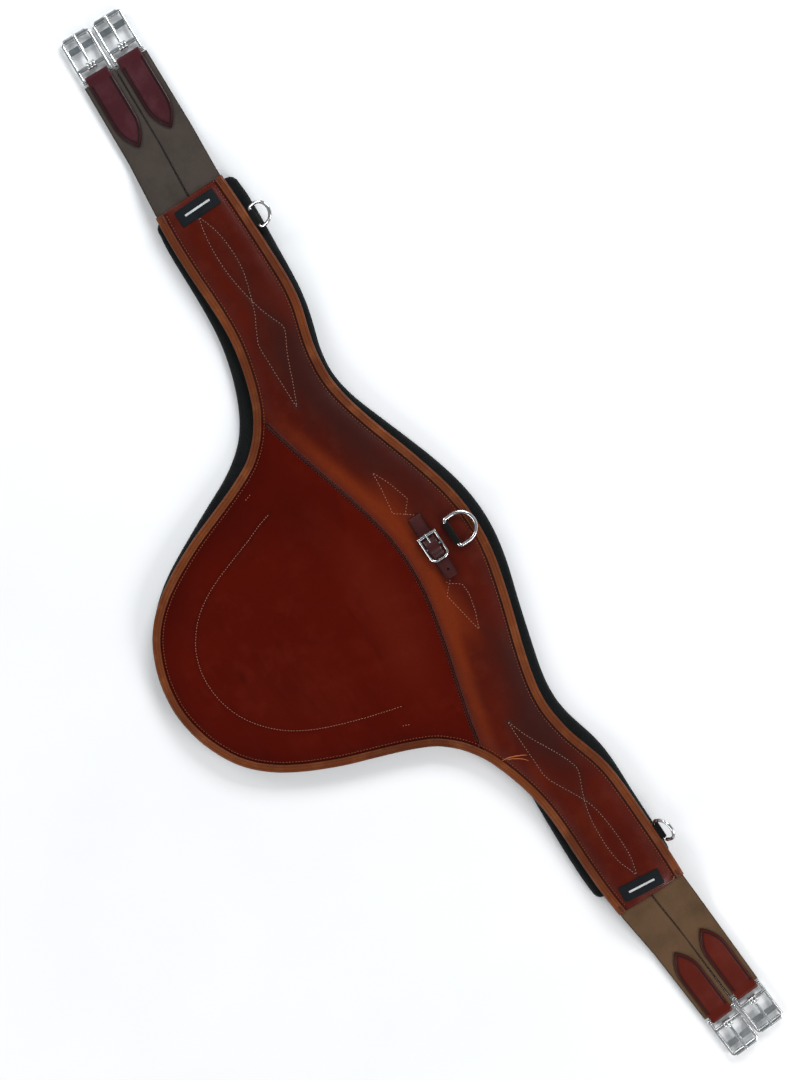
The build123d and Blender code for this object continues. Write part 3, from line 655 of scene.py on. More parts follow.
M_CHAPE_L = leather("chape_left", (66, 27, 32), (46, 18, 22), (84, 46, 52), (0.26, 0.40), 0.12, edge=(28, 10, 13))
M_CHAPE_R = leather("chape_right", (84, 23, 11), (64, 15, 8), (98, 34, 19), (0.26, 0.40), 0.12, edge=(38, 11, 8))
M_ELASTIC_L = cloth("elastic_left", (58, 51, 46), (74, 66, 60), "rib", 1.0, 0.9, 0.05, 0.00008)
M_ELASTIC_R = cloth("elastic_right", (82, 60, 41), (102, 78, 56), "rib", 1.0, 0.9, 0.05, 0.00008)
M_LINER = cloth("liner_knit", (6, 8, 9), (26, 29, 29), "knit", 1.0, 0.95, 0.05, 0.0005)
M_FIBRE = cloth("liner_fibre", (26, 29, 30), (62, 66, 66), "weave", 1.0, 0.9, 0.05, 0.00002)
M_WEB = cloth("black_webbing", (8, 10, 9), (26, 28, 26), "weave", 1.0, 0.85, 0.04, 0.00015)
M_LABEL = cloth("woven_label", (12, 17, 21), (28, 35, 39), "weave", 2.2, 0.7, 0.03, 0.00006)
M_TAPE = cloth("loop_tape", (14, 14, 15), (38, 38, 38), "knit", 1.6, 1.0, 0.15, 0.0004)
M_HOOK = cloth("hook_tape", (20, 20, 20), (46, 46, 44), "weave", 2.6, 0.6, 0.05, 0.0003)
M_THREAD = cloth("thread", (156, 102, 82), (194, 142, 120), "weave", 3.0, 0.75, 0.05, 0.00003)
M_THREAD_DARK = cloth("thread_dark", (84, 42, 34), (118, 70, 58), "weave", 3.0, 0.75, 0.05, 0.00003)
# chape thread colour darkened to match the painted shade of the chape stitch groove
M_THREAD_CHAPE = cloth("thread_chape", (34, 15, 17), (62, 32, 34), "weave", 3.0, 0.75, 0.05, 0.00003)
M_THREAD_TAN = cloth("thread_tan", (120, 66, 40), (160, 104, 72), "weave", 3.0, 0.7, 0.05, 0.00003)
M_LABEL_MARK = cloth("label_bar", (186, 188, 188), (222, 224, 222), "weave", 2.6, 0.8, 0.05, 0.00004)
M_CREASE = leather("pale_crease", (168, 96, 54), (132, 68, 34), (196, 128, 84), (0.40, 0.60), 0.0)
M_STEEL = steel("steel")


def dress(o, mat, slot, body):
    o.data.materials.clear()
    o.data.materials.append(mat)
    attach(o, body)
    return o


# ------------------------------------------------------------------ liner


def round_edge(t, r, z0, z1):
    """Upper and lower heights of a slab with a rounded rim; t is the distance from its edge."""
    k = np.sqrt(np.clip(1 - (1 - np.clip(t / r, 0, 1)) ** 2, 0, 1))
    mid, h = (z0 + z1) / 2, (z1 - z0) / 2
    return mid + h * k, mid - h * k


def make_liner():
    out = liner_outline(0)
    closed = np.vstack([out, out[:1]])
    top = lambda P: round_edge(dist(P, closed), 4.2, 0, 8.9)[0] + 0.02 - 0.12 * (1 + wav(P, 11, 40)) * np.clip(dist(P, closed) / 5, 0, 1)
    bot = lambda P: np.maximum(round_edge(dist(P, closed), 3.5, 0, 8.9)[1] - 0.02, 0.0)
    o, V = slab_mesh("liner_cover_knit", out, [0.25, 0.8, 1.6, 2.8, 4.5, 8], 8.0, top, bot)
    dress(o, M_LINER, "liner_knit", "liner")
    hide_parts("liner_cover", "liner_foam")
    # a bound seam all round the liner's rim
    rim = even(closed, 4.0)[:-1]
    nor = normals2(rim, closed=True)
    v, f = strip_mesh("x", np.vstack([rim, rim[:1]]), [(-0.10, 3.6), (-0.55, 4.4), (-0.10, 5.2), (0.8, 5.3), (0.8, 3.5)], 1)
    b = new_object("liner_rim_seam", v, f)
    fix_normals(b)
    dress(b, M_WEB, "liner_knit", "liner")
    # brushed fibres
    hairs = []
    for k in range(1500):
        i = int(RNG.integers(0, len(rim)))
        p, q = rim[i], -nor[i]
        t = np.array([-q[1], q[0]])
        z = RNG.uniform(5.4, 8.4)
        base = p + t * RNG.uniform(-2, 2) - q * (0.6 + (z - 5.4) * 0.55)
        d = q * RNG.uniform(0.2, 1.0) + t * RNG.uniform(-1, 1)
        L = RNG.uniform(0.9, 2.4)
        hairs.append([(base[0], base[1], z - 0.3), (base[0] + d[0] * L * 0.5, base[1] + d[1] * L * 0.5, z + L * 0.22), (base[0] + d[0] * L, base[1] + d[1] * L, z + L * 0.25)])
    v, f = tubes(hairs, 0.085, 3)
    h = new_object("liner_fibres", v, f)
    fix_normals(h)
    dress(h, M_FIBRE, "liner_knit", "liner")
    return o


def make_tapes():
    spots = [(-330, -10, 150, 40), (-125, -14, 110, 26), (125, -14, 110, 26), (330, -10, 150, 40), (0, -110, 150, 30), (0, -240, 110, 30)]
    for node, mat, slot, body, z0, z1, dw, dh, r in (("loop_strips", M_TAPE, "loop_tape", "liner", 8.7, 9.78, 0, 0, 5), ("hook_strips", M_HOOK, "hook_tape", "girth_body", 9.82, 10.7, 10, 8, 4)):
        V, F, n = [], [], 0
        for x, y, w, h in spots:
            w, h = (w - dw) / 2, (h - dh) / 2
            out = np.concatenate([corner(x + w, y - h, y + h, r, 1, 6), corner(x - w, y + h, y - h, r, -1, 6)])
            out = even(np.vstack([out, out[:1]]), 2.5)[:-1]
            closed = np.vstack([out, out[:1]])
            tv, tf = fill(out, [0.5], 4.0)
            k = np.clip(dist(tv, closed) / 0.5, 0.5, 1)
            for p, s in zip(tv, k):
                V.append((p[0], p[1], z1 - (1 - s) * 0.3 - RNG.uniform(0, 0.12)))
            for p in tv:
                V.append((p[0], p[1], z0))
            m = len(tv)
            edges = {}
            for f in tf:
                a, b, c = tv[f[0]], tv[f[1]], tv[f[2]]
                if (b[0] - a[0]) * (c[1] - a[1]) - (b[1] - a[1]) * (c[0] - a[0]) < 0:
                    f = f[::-1]
                F.append(tuple(n + i for i in f))
                F.append(tuple(n + m + i for i in f[::-1]))
                for i in range(3):
                    edges[(int(f[i]), int(f[(i + 1) % 3]))] = 1
            for i, j in edges:
                if (j, i) not in edges:
                    F.append((n + i, n + i + m, n + j + m, n + j))
            n = len(V)
        o = new_object(node + "_tape", np.array(V), F)
        fix_normals(o)
        dress(o, mat, slot, body)
        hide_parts(node)


# ------------------------------------------------------------------ leather body


def bumpy(P, spots):
    out = np.zeros(len(P))
    for x, y, rx, ry, a in spots:
        out += a * np.exp(-((P[:, 0] - x) / rx) ** 2 - ((P[:, 1] - y) / ry) ** 2)
    return out


def make_body():
    # lining
    out = body_outline(2.0, 2.0, 4.0)
    closed = np.vstack([out, out[:1]])
    o, V = slab_mesh("inner_lining_leather", out, [0.4, 3], 9.0, lambda P: np.full(len(P), 12.4) - 0.3 * np.exp(-dist(P, closed) / 0.3), lambda P: np.full(len(P), 10.6) + 0.3 * np.exp(-dist(P, closed) / 0.3))
    fix_normals(o)
    dress(o, M_LINING, "lining_leather", "girth_body")
    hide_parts("inner_lining")

    # band
    t = moved(TOP_C, -8.2)[::-1]
    t = t[np.abs(t[:, 0]) < HALF - 4]
    low = moved(BOT_C, 8.2)
    sx = 203.0
    seam = SEAM_C[np.abs(SEAM_C[:, 0]) < sx]
    left = low[low[:, 0] < -sx - 3]
    left = left[left[:, 0] > -HALF + 4]
    right = low[low[:, 0] > sx + 3]
    right = right[right[:, 0] < HALF - 4]
    left = left[left[:, 1] > SEAM_Y(left[:, 0]) + 0.3]
    right = right[right[:, 1] > SEAM_Y(right[:, 0]) + 0.3]
    out = np.concatenate([left, seam, right, corner(HALF - 0.2, right[-1, 1], t[0, 1], 2.0, 1, 5), t, corner(-HALF + 0.2, t[-1, 1], left[0, 1], 2.0, -1, 5)])
    out = even(np.vstack([out, out[:1]]), 2.6)[:-1]
    closed = np.vstack([out, out[:1]])

    def top(P):
        h = band_height(P)
        k = np.clip(dist(P, closed) / 0.9, 0, 1)
        return h - 0.55 * (1 - np.sqrt(np.clip(1 - (1 - k) ** 2, 0, 1)))

    lines, seen, extra = [even(moved(l, k), 1.5) for k in (0, -1.2, 1.2, -2.7, 2.7, -4.6, 4.6) for l in BAND_STITCH], set(), []
    for l in lines:
        l = l[dist(l, closed) > 9.0]
        keep = []
        for q in l:
            cell = (round(q[0] / 1.1), round(q[1] / 1.1))
            if not any((cell[0] + i, cell[1] + j) in seen for i in (0,) for j in (0,)):
                seen.add(cell)
                keep.append(q)
        if len(keep) > 1:
            extra.append(np.array(keep))
    o, V = slab_mesh("band_outer_leather", out, [0.3, 0.9, 2.0, 3.4, 5.2, 7.5], 3.0, top, lambda P: np.full(len(P), 14.85), extra=extra)
    es = np.maximum(V[:, 1] - SEAM_Y(V[:, 0]), 0)
    e = np.maximum(edge_dist(V) - 8.8, 0)
    # dark: darker patches scattered over the band, plus painted shade in its grooves below
    dark = bumpy(V, [(-150, 0, 95, 24, .95), (-235, -12, 60, 26, .75), (150, 4, 60, 22, .85), (222, -14, 45, 24, .9), (-330, -6, 70, 26, .35), (290, -5, 50, 26, .30), (-70, 28, 60, 16, .45), (60, 36, 70, 14, .35), (30, -5, 22, 12, .45), (-30, 0, 20, 14, .4)])
    # painted shade: darker along the four deep quilting stitch grooves, in the seam groove and in the groove at the
    # binding's inner edge
    for l in BAND_STITCH[:4]:
        dark += 0.35 * np.exp(-(dist(V, l) / 3.0) ** 2)
    dark += 0.9 * np.exp(-(es / 1.6) ** 2) * (np.abs(V[:, 0]) < 205)
    dark += 0.9 * np.exp(-(e / 2.6) ** 2)
    glow = np.exp(-((es - 11) / 9) ** 2) * (0.85 * np.exp(-((V[:, 0] + 110) / 75) ** 2) + 0.95 * np.exp(-((V[:, 0] - 85) / 95) ** 2) + 0.5 * np.exp(-(V[:, 0] / 60) ** 2) + .4 * np.exp(-((V[:, 0] - 185) / 40) ** 2))
    glow += bumpy(V, [(-55, -12, 34, 16, .55), (75, -14, 40, 12, .6), (-300, -20, 50, 12, .15), (330, -25, 60, 12, .2), (262, -40, 22, 10, .35), (20, 44, 60, 8, .3)])
    dark = dark * (1 - 0.75 * np.clip(glow, 0, 1))
    set_attr(o, "dark", np.r_[dark, dark])
    set_attr(o, "glow", np.r_[glow, glow])
    fix_normals(o)
    dress(o, M_BAND, "band_leather", "girth_body")
    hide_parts("band_leather", "band_padding", "web_core")

    # belly panel
    low = moved(BOT_C, 8.2)
    seam = SEAM_C[np.abs(SEAM_C[:, 0]) < 205]
    arc = low[(low[:, 0] > -206) & (low[:, 0] < 206)]
    arc = arc[arc[:, 1] < SEAM_Y(arc[:, 0]) - 0.6]
    out = np.concatenate([arc, seam[::-1] - np.array([0, 0.15])])
    out = even(np.vstack([out, out[:1]]), 3.0)[:-1]
    extra = [even(l, 2.2) for l in (U_LINE,)]
    o, V = slab_mesh("belly_panel_leather", out, [0.5, 1.5, 2.6, 3.6, 4.6, 6.0], 4.6, belly_height, lambda P: np.full(len(P), 12.5), extra=extra)
    e = np.maximum(edge_dist(V) - 8.8, 0)
    es = np.maximum(SEAM_Y(V[:, 0]) - V[:, 1], 0)
    # dark: darker towards the rim and in scattered patches, with a dark mark at the dent; painted shade in the binding
    # groove, the seam groove and along the U stitching groove
    dark = 0.6 * np.exp(-(e / 14) ** 1.4) + 0.6 * np.exp(-(e / 3.0) ** 2) + 0.8 * np.exp(-((es - 2.4) / 1.6) ** 2) + bumpy(V, [(-130, -150, 45, 80, .5), (-100, -90, 60, 25, .3), (-90, -260, 50, 30, .35), (90, -270, 60, 25, .25)])
    dark += 0.5 * np.exp(-(dist(V, U_LINE) / 2.0) ** 2) + 1.2 * np.exp(-(((V[:, 0] - 6) / 7) ** 2 + ((V[:, 1] + 240) / 3.4) ** 2))
    glow = bumpy(V, [(10, -75, 85, 30, .42), (90, -90, 50, 26, .28), (60, -170, 60, 50, .22), (20, -235, 60, 20, .15)])
    set_attr(o, "dark", np.r_[dark, dark])
    set_attr(o, "glow", np.r_[glow, glow])
    fix_normals(o)
    dress(o, M_BELLY, "panel_leather", "girth_body")
    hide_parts("belly_panel")

    # welt along the foot of the band
    w = SEAM_C[np.abs(SEAM_C[:, 0]) < 199]
    w = even(moved(w, -0.9), 3.0)
    z = np.full(len(w), 16.15)
    v, f = tubes([np.column_stack([w, z])], 0.95, 10)
    o = new_object("seam_welt_bead", v, f)
    fix_normals(o)
    dress(o, M_WELT, "welt_leather", "girth_body")
    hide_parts("seam_welt")


BIND_PROFILE = [(9.2, 9.9), (5.0, 9.85), (1.6, 9.9), (0.5, 10.5), (0.05, 11.8), (0.0, 13.4), (0.15, 15.0), (0.75, 16.3), (1.7, 16.95), (2.6, 17.15), (3.1, 16.95), (3.7, 17.1), (5.4, 17.05),
                (6.6, 16.95), (7.2, 17.2), (8.0, 17.35), (8.6, 17.1), (8.9, 16.5), (8.8, 15.55), (6.0, 15.6), (2.0, 15.6), (2.0, 10.55), (5.0, 10.5), (9.0, 10.5)]


def make_binding():
    allv, allf, n = [], [], 0
    edge = []
    for line, side in ((TOP_C, -1), (BOT_C, 1)):
        p = even(line, 3.2)
        keep = np.abs(p[:, 0]) <= HALF
        p = p[keep]
        # the top is lowered over the last few millimetres at each end, below
        v, f = strip_mesh("x", p, BIND_PROFILE, side)
        m = len(BIND_PROFILE)
        ss = np.arange(len(p))
        wob = np.repeat(0.12 * np.sin(ss * 0.9) + 0.1 * np.sin(ss * 0.37 + 2), m)
        zz = v[:, 2]
        top = zz > 15
        v[top, 2] += wob[top] * 0.8
        near_end = np.clip((HALF - np.abs(v[:, 0])) / 3.5, 0, 1)
        v[:, 2] = np.where(zz > 15.4, v[:, 2] - 0.9 * (1 - near_end) ** 2, v[:, 2])
        allv.append(v)
        allf += [tuple(i + n for i in q) for q in f]
        n += len(v)
        prof = np.array([d for d, _ in BIND_PROFILE])
        # edge: painted shade in the binding's two top grooves and where it drops to the band; slightly darker at its
        # outer rim
        ed = np.clip(np.exp(-((prof - 3.1) / 0.35) ** 2) * 0.55 + np.exp(-((prof - 6.6) / 0.4) ** 2) * 0.4 + np.exp(-((prof - 8.9) / 0.3) ** 2) * 0.9 + np.exp(-(prof / 0.7) ** 2) * 0.35, 0, 1)
        edge.append(np.tile(ed, len(p)))
    o = new_object("edge_binding_leather", np.vstack(allv), allf)
    set_attr(o, "edge", np.concatenate(edge))
    fix_normals(o)
    dress(o, M_BIND, "tan_binding", "girth_body")
    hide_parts("edge_binding")
    # its lockstitch
    segs = []
    for line, side in ((TOP_C, -1), (BOT_C, 1)):
        p = even(moved(line, 11.4 * side), 2.0)
        p = p[np.abs(p[:, 0]) < HALF - 3]
        segs += stitch_line(p, lambda P: np.where(P[:, 1] > SEAM_Y(P[:, 0]), band_height(P), belly_height(P)), 3.3, 1.9, lift=0.24)
    v, f = tubes(segs, 0.36)
    s = new_object("binding_stitching", v, f)
    fix_normals(s)
    dress(s, M_THREAD_TAN, "thread", "girth_body")


def make_stitching():
    segs = []
    for l in BAND_STITCH:
        segs += stitch_line(l, band_height, 3.3, 1.75, sink=0.1, lift=0.26)
    v, f = tubes(segs, 0.33)
    o = new_object("band_stitching", v, f)
    fix_normals(o)
    dress(o, M_THREAD, "thread", "girth_body")
    segs = []
    for l in (U_LINE, TICK_L, TICK_R):
        segs += stitch_line(l, belly_height, 3.0, 1.65, sink=0.1, lift=0.26)
    v, f = tubes(segs, 0.33)
    o = new_object("belly_stitching", v, f)
    fix_normals(o)
    dress(o, M_THREAD, "thread", "girth_body")
    # row beside the seam, and across the two ends
    segs = []
    w = SEAM_C[np.abs(SEAM_C[:, 0]) < 200]
    segs += stitch_line(moved(w, 2.2), band_height, 3.3, 1.9, lift=0.2)
    segs += stitch_line(moved(w, -2.8), belly_height, 3.3, 1.9, lift=0.2)
    for s in (-1, 1):
        line = even(np.array([(s * (HALF - 2.6), -38.5), (s * (HALF - 2.6), 20.0)]), 2)
        segs += stitch_line(line, band_height, 3.6, 2.5, lift=0.2)
    # bar tacks at the corners
    for s in (-1, 1):
        for y in (25.5, -44.0):
            for k in range(5):
                x = s * (HALF - 2.2 - k * 1.5)
                segs.append(np.array([(x - s * 0.3, y - 3.2, 17.0), (x, y, 17.55), (x + s * 0.3, y + 3.2, 17.0)]))
    v, f = tubes(segs, 0.3)
    o = new_object("seam_stitching", v, f)
    fix_normals(o)
    dress(o, M_THREAD_DARK, "thread", "girth_body")


def make_creases():
    """Two pale rubbed creases where the band turns at its right end, and a fine scratch on the panel."""
    for k, (pts, w) in enumerate((([(229.1, -64.0), (229.4, -56.4), (231.5, -49.1), (234.6, -42.1), (237.8, -36.7)], 0.62), ([(230.7, -58.0), (233.0, -51.6), (236.7, -45.4), (240.2, -41.4), (244.2, -38.5)], 0.5), ([(-73.8, -61.9), (-75.4, -69), (-72, -75)], 0.28))):
        line = relax(even(resample(pts, 1.0), 0.8), 4)
        z = (band_height if k < 2 else belly_height)(line)
        n = len(line)
        hw = w * np.sqrt(np.clip(1 - (2 * np.arange(n) / (n - 1) - 1) ** 2, 0.02, 1))
        wd = np.column_stack([normals2(line), np.zeros(n)])
        v, f, vv = ribbon(np.column_stack([line, z + 0.08]), wd, hw, 0.35, [(-1, 0.3), (-0.5, 0.85), (0, 1), (0.5, 0.85), (1, 0.3)])
        o = new_object(f"crease_{k}", v, f)
        fix_normals(o)
        dress(o, M_CREASE, "band_leather" if k < 2 else "panel_leather", "girth_body")


def make_labels():
    for key, cx, cy, w, h, turn in (("left", -420.3, -7.8, 9.1, 23.3, 0.0), ("right", 420.1, -12.7, 9.1, 23.2, -5.8)):
        ct, st_ = math.cos(math.radians(turn)), math.sin(math.radians(turn))
        spin = lambda q: np.column_stack([cx + (q[:, 0] - cx) * ct - (q[:, 1] - cy) * st_, cy + (q[:, 0] - cx) * st_ + (q[:, 1] - cy) * ct])
        out = np.concatenate([corner(cx + w, cy - h, cy + h, 0.9, 1, 4), corner(cx - w, cy + h, cy - h, 0.9, -1, 4)])
        out = spin(even(np.vstack([out, out[:1]]), 1.2)[:-1])
        closed = np.vstack([out, out[:1]])

        def top(P):
            k = np.clip(dist(P, closed) / 0.7, 0, 1)
            return band_height(P) + 0.25 + 0.55 * np.sqrt(np.clip(1 - (1 - k) ** 2, 0, 1))

        o, V = slab_mesh(f"end_label_{key}_woven", out, [0.25, 0.7, 1.6], 1.8, top, lambda P: band_height(P) - 0.3)
        fix_normals(o)
        dress(o, M_LABEL, "woven_label", "girth_body")
        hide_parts(f"end_label_{key}")
        # a plain woven bar, and the label's own stitching
        bar = np.concatenate([corner(cx + 1.1, cy - 15, cy + 15, 0.5, 1, 3), corner(cx - 1.1, cy + 15, cy - 15, 0.5, -1, 3)])
        bar = spin(even(np.vstack([bar, bar[:1]]), 0.8)[:-1])
        o2, _ = slab_mesh(f"end_label_{key}_bar", bar, [0.3], 1.2, lambda P: band_height(P) + 0.93, lambda P: band_height(P) + 0.5)
        fix_normals(o2)
        dress(o2, M_LABEL_MARK, "thread", "girth_body")
        segs = stitch_line(np.vstack([out, out[:1]]) * 1.0, lambda P: band_height(P) + 0.55, 2.4, 1.7, lift=0.12, jitter=0.02)
        inner = out + normals2(out, closed=True) * 1.1
        segs = stitch_line(np.vstack([inner, inner[:1]]), lambda P: band_height(P) + 0.78, 2.4, 1.7, lift=0.14, jitter=0.02)
        v, f = tubes(segs, 0.17)
        o3 = new_object(f"end_label_{key}_stitching", v, f)
        fix_normals(o3)
        dress(o3, M_LABEL, "woven_label", "girth_body")


# ------------------------------------------------------------------ webbing loops of the dee rings


def make_loops():
    for key, x, y in (("left", -380.9, 35.5), ("right", 383.0, 35.3)):
        r = 1.96 + 0.6
        path = [(y - 18.0, 13.6 + 0.55), (y - 10, 13.6 + 0.6), (y - 4.5, 13.6 + 1.1)]
        path += [(y + r * math.sin(a), 13.6 + r * math.cos(a)) for a in np.linspace(-0.25, math.pi + 0.25, 16)]
        path += [(y - 4.5, 13.6 - 1.1), (y - 10, 13.6 - 0.6), (y - 18.0, 13.6 - 0.55)]
        P = np.array([(x, a, b) for a, b in path])
        v, f, vv = ribbon(P, (1, 0, 0), 8.6, 1.15)
        o = new_object(f"side_dee_loop_{key}_web", v, f)
        fix_normals(o)
        dress(o, M_WEB, "black_webbing", "girth_body")
        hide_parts(f"side_dee_loop_{key}")
    y, z, r = 25.2, 19.4 + 1.2 + 0.06 + 1.9, 1.96 + 0.6
    path = [(y - 2.2, 19.2), (y - 2.6, 20.4)] + [(y + r * math.sin(a), z + r * math.cos(a)) for a in np.linspace(-1.75, math.pi + 0.35, 20)] + [(y - 1.6, 19.5), (y - 1.9, 19.0)]
    P = np.array([(0, a, b) for a, b in path])
    v, f, vv = ribbon(P, (1, 0, 0), 12.5, 1.15)
    o = new_object("centre_dee_loop_web", v, f)
    fix_normals(o)
    dress(o, M_WEB, "black_webbing", "girth_body")
    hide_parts("centre_dee_loop")


# ------------------------------------------------------------------ loop strap and its chape


def arc_points(pts, step=0.8):
    return relax(even(resample(pts, 1.0), step), 4)


def make_loop_strap():
    line = arc_points([(-35.5, 19.6), (-33.5, 20.3), (-29, 20.5), (-20, 20.7), (-12.5, 21.45), (-8, 23.4), (-3.4, 26.5), (1, 27.7), (5.2, 26.9), (10, 23.7), (13, 22.25), (16, 21.75), (20, 21.7), (28, 22.1), (38.2, 23.1)])
    P = np.column_stack([line[:, 0], np.full(len(line), 1.8), line[:, 1]])
    s = np.clip((38.6 - line[:, 0]) / 7.0, 0, 1)
    hw = 6.8 * (0.30 + 0.70 * np.sqrt(np.clip(1 - (1 - s) ** 2, 0, 1)))
    hw[line[:, 0] < 30] = 6.8
    v, f, vv = ribbon(P, (0, 1, 0), hw, 1.75)
    o = new_object("loop_strap_leather", v, f)
    set_attr(o, "edge", np.clip((np.abs(vv) - 0.78) / 0.2, 0, 1))
    fix_normals(o)
    dress(o, M_STRAP, "dark_strap", "girth_body")
    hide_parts("loop_strap")
    # punched holes, drawn as near-black discs of painted shade for their depth
    holes = []
    for hx in (-5.2, 11.2, 29.0):
        z = np.interp(hx, line[:, 0], line[:, 1]) + 0.9
        slope = (np.interp(hx + 1.5, line[:, 0], line[:, 1]) - np.interp(hx - 1.5, line[:, 0], line[:, 1])) / 3
        ring = []
        for k in range(15):
            a = 2 * math.pi * k / 14
            ring.append((hx + 1.45 * math.cos(a), 1.8 + 1.45 * math.sin(a), z + 1.45 * math.cos(a) * slope + 0.02))
        holes.append((ring, hx, z, slope))
    vs, fs = [], []
    for ring, hx, z, slope in holes:
        base = len(vs)
        n = 14
        for rr, dz in ((1.5, 0.03), (1.15, 0.05), (1.0, -0.25)):
            for k in range(n):
                a = 2 * math.pi * k / n
                vs.append((hx + rr * math.cos(a), 1.8 + rr * math.sin(a), z + rr * math.cos(a) * slope + dz))
        for j in range(2):
            for k in range(n):
                fs.append((base + j * n + k, base + j * n + (k + 1) % n, base + (j + 1) * n + (k + 1) % n, base + (j + 1) * n + k))
        fs.append(tuple(base + k for k in range(n))[::-1])
        fs.append(tuple(base + 2 * n + k for k in range(n)))
    o = new_object("loop_strap_holes", np.array(vs), fs)
    fix_normals(o)
    # near-black material of painted shade for the hole discs
    dark = leather("hole_painted_shade", (20, 10, 10), (12, 6, 6), (30, 16, 14), (0.7, 0.9), 0.0)
    dress(o, dark, "dark_strap", "girth_body")
    # chape of the small buckle
    line = arc_points([(36.5, 19.7), (34, 20.1), (26, 20.12), (14, 20.15), (7.5, 20.6), (4.0, 21.6)])
    zc, r = 24.0, 1.15 + 0.6
    lower = [(x, z) for x, z in line] + [(1.0 + r * math.sin(a), zc - r * math.cos(a)) for a in np.linspace(0.5, -math.pi * 1.02, 16)] + [(3.4, 24.4)]
    for k, (y0, hw) in enumerate(((-3.55 + 2.2, 2.2), (3.85 + 2.2, 2.1))):
        P = np.array([(x, y0, z) for x, z in lower])
        v, f, vv = ribbon(P[len(line) - 3:], (0, 1, 0), hw, 1.0)
        o = new_object(f"small_chape_prong_{k}", v, f)
        set_attr(o, "edge", np.clip((np.abs(vv) - 0.8) / 0.2, 0, 1))
        fix_normals(o)
        dress(o, M_STRAP, "dark_strap", "girth_body")
    P = np.array([(x, 2.2, z) for x, z in line])
    v, f, vv = ribbon(P, (0, 1, 0), 6.0, 1.1)
    o = new_object("small_chape_leather", v, f)
    set_attr(o, "edge", np.clip((np.abs(vv) - 0.8) / 0.2, 0, 1))
    fix_normals(o)
    dress(o, M_STRAP, "dark_strap", "girth_body")
    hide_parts("loop_strap_chape")


# ------------------------------------------------------------------ elastics and chapes


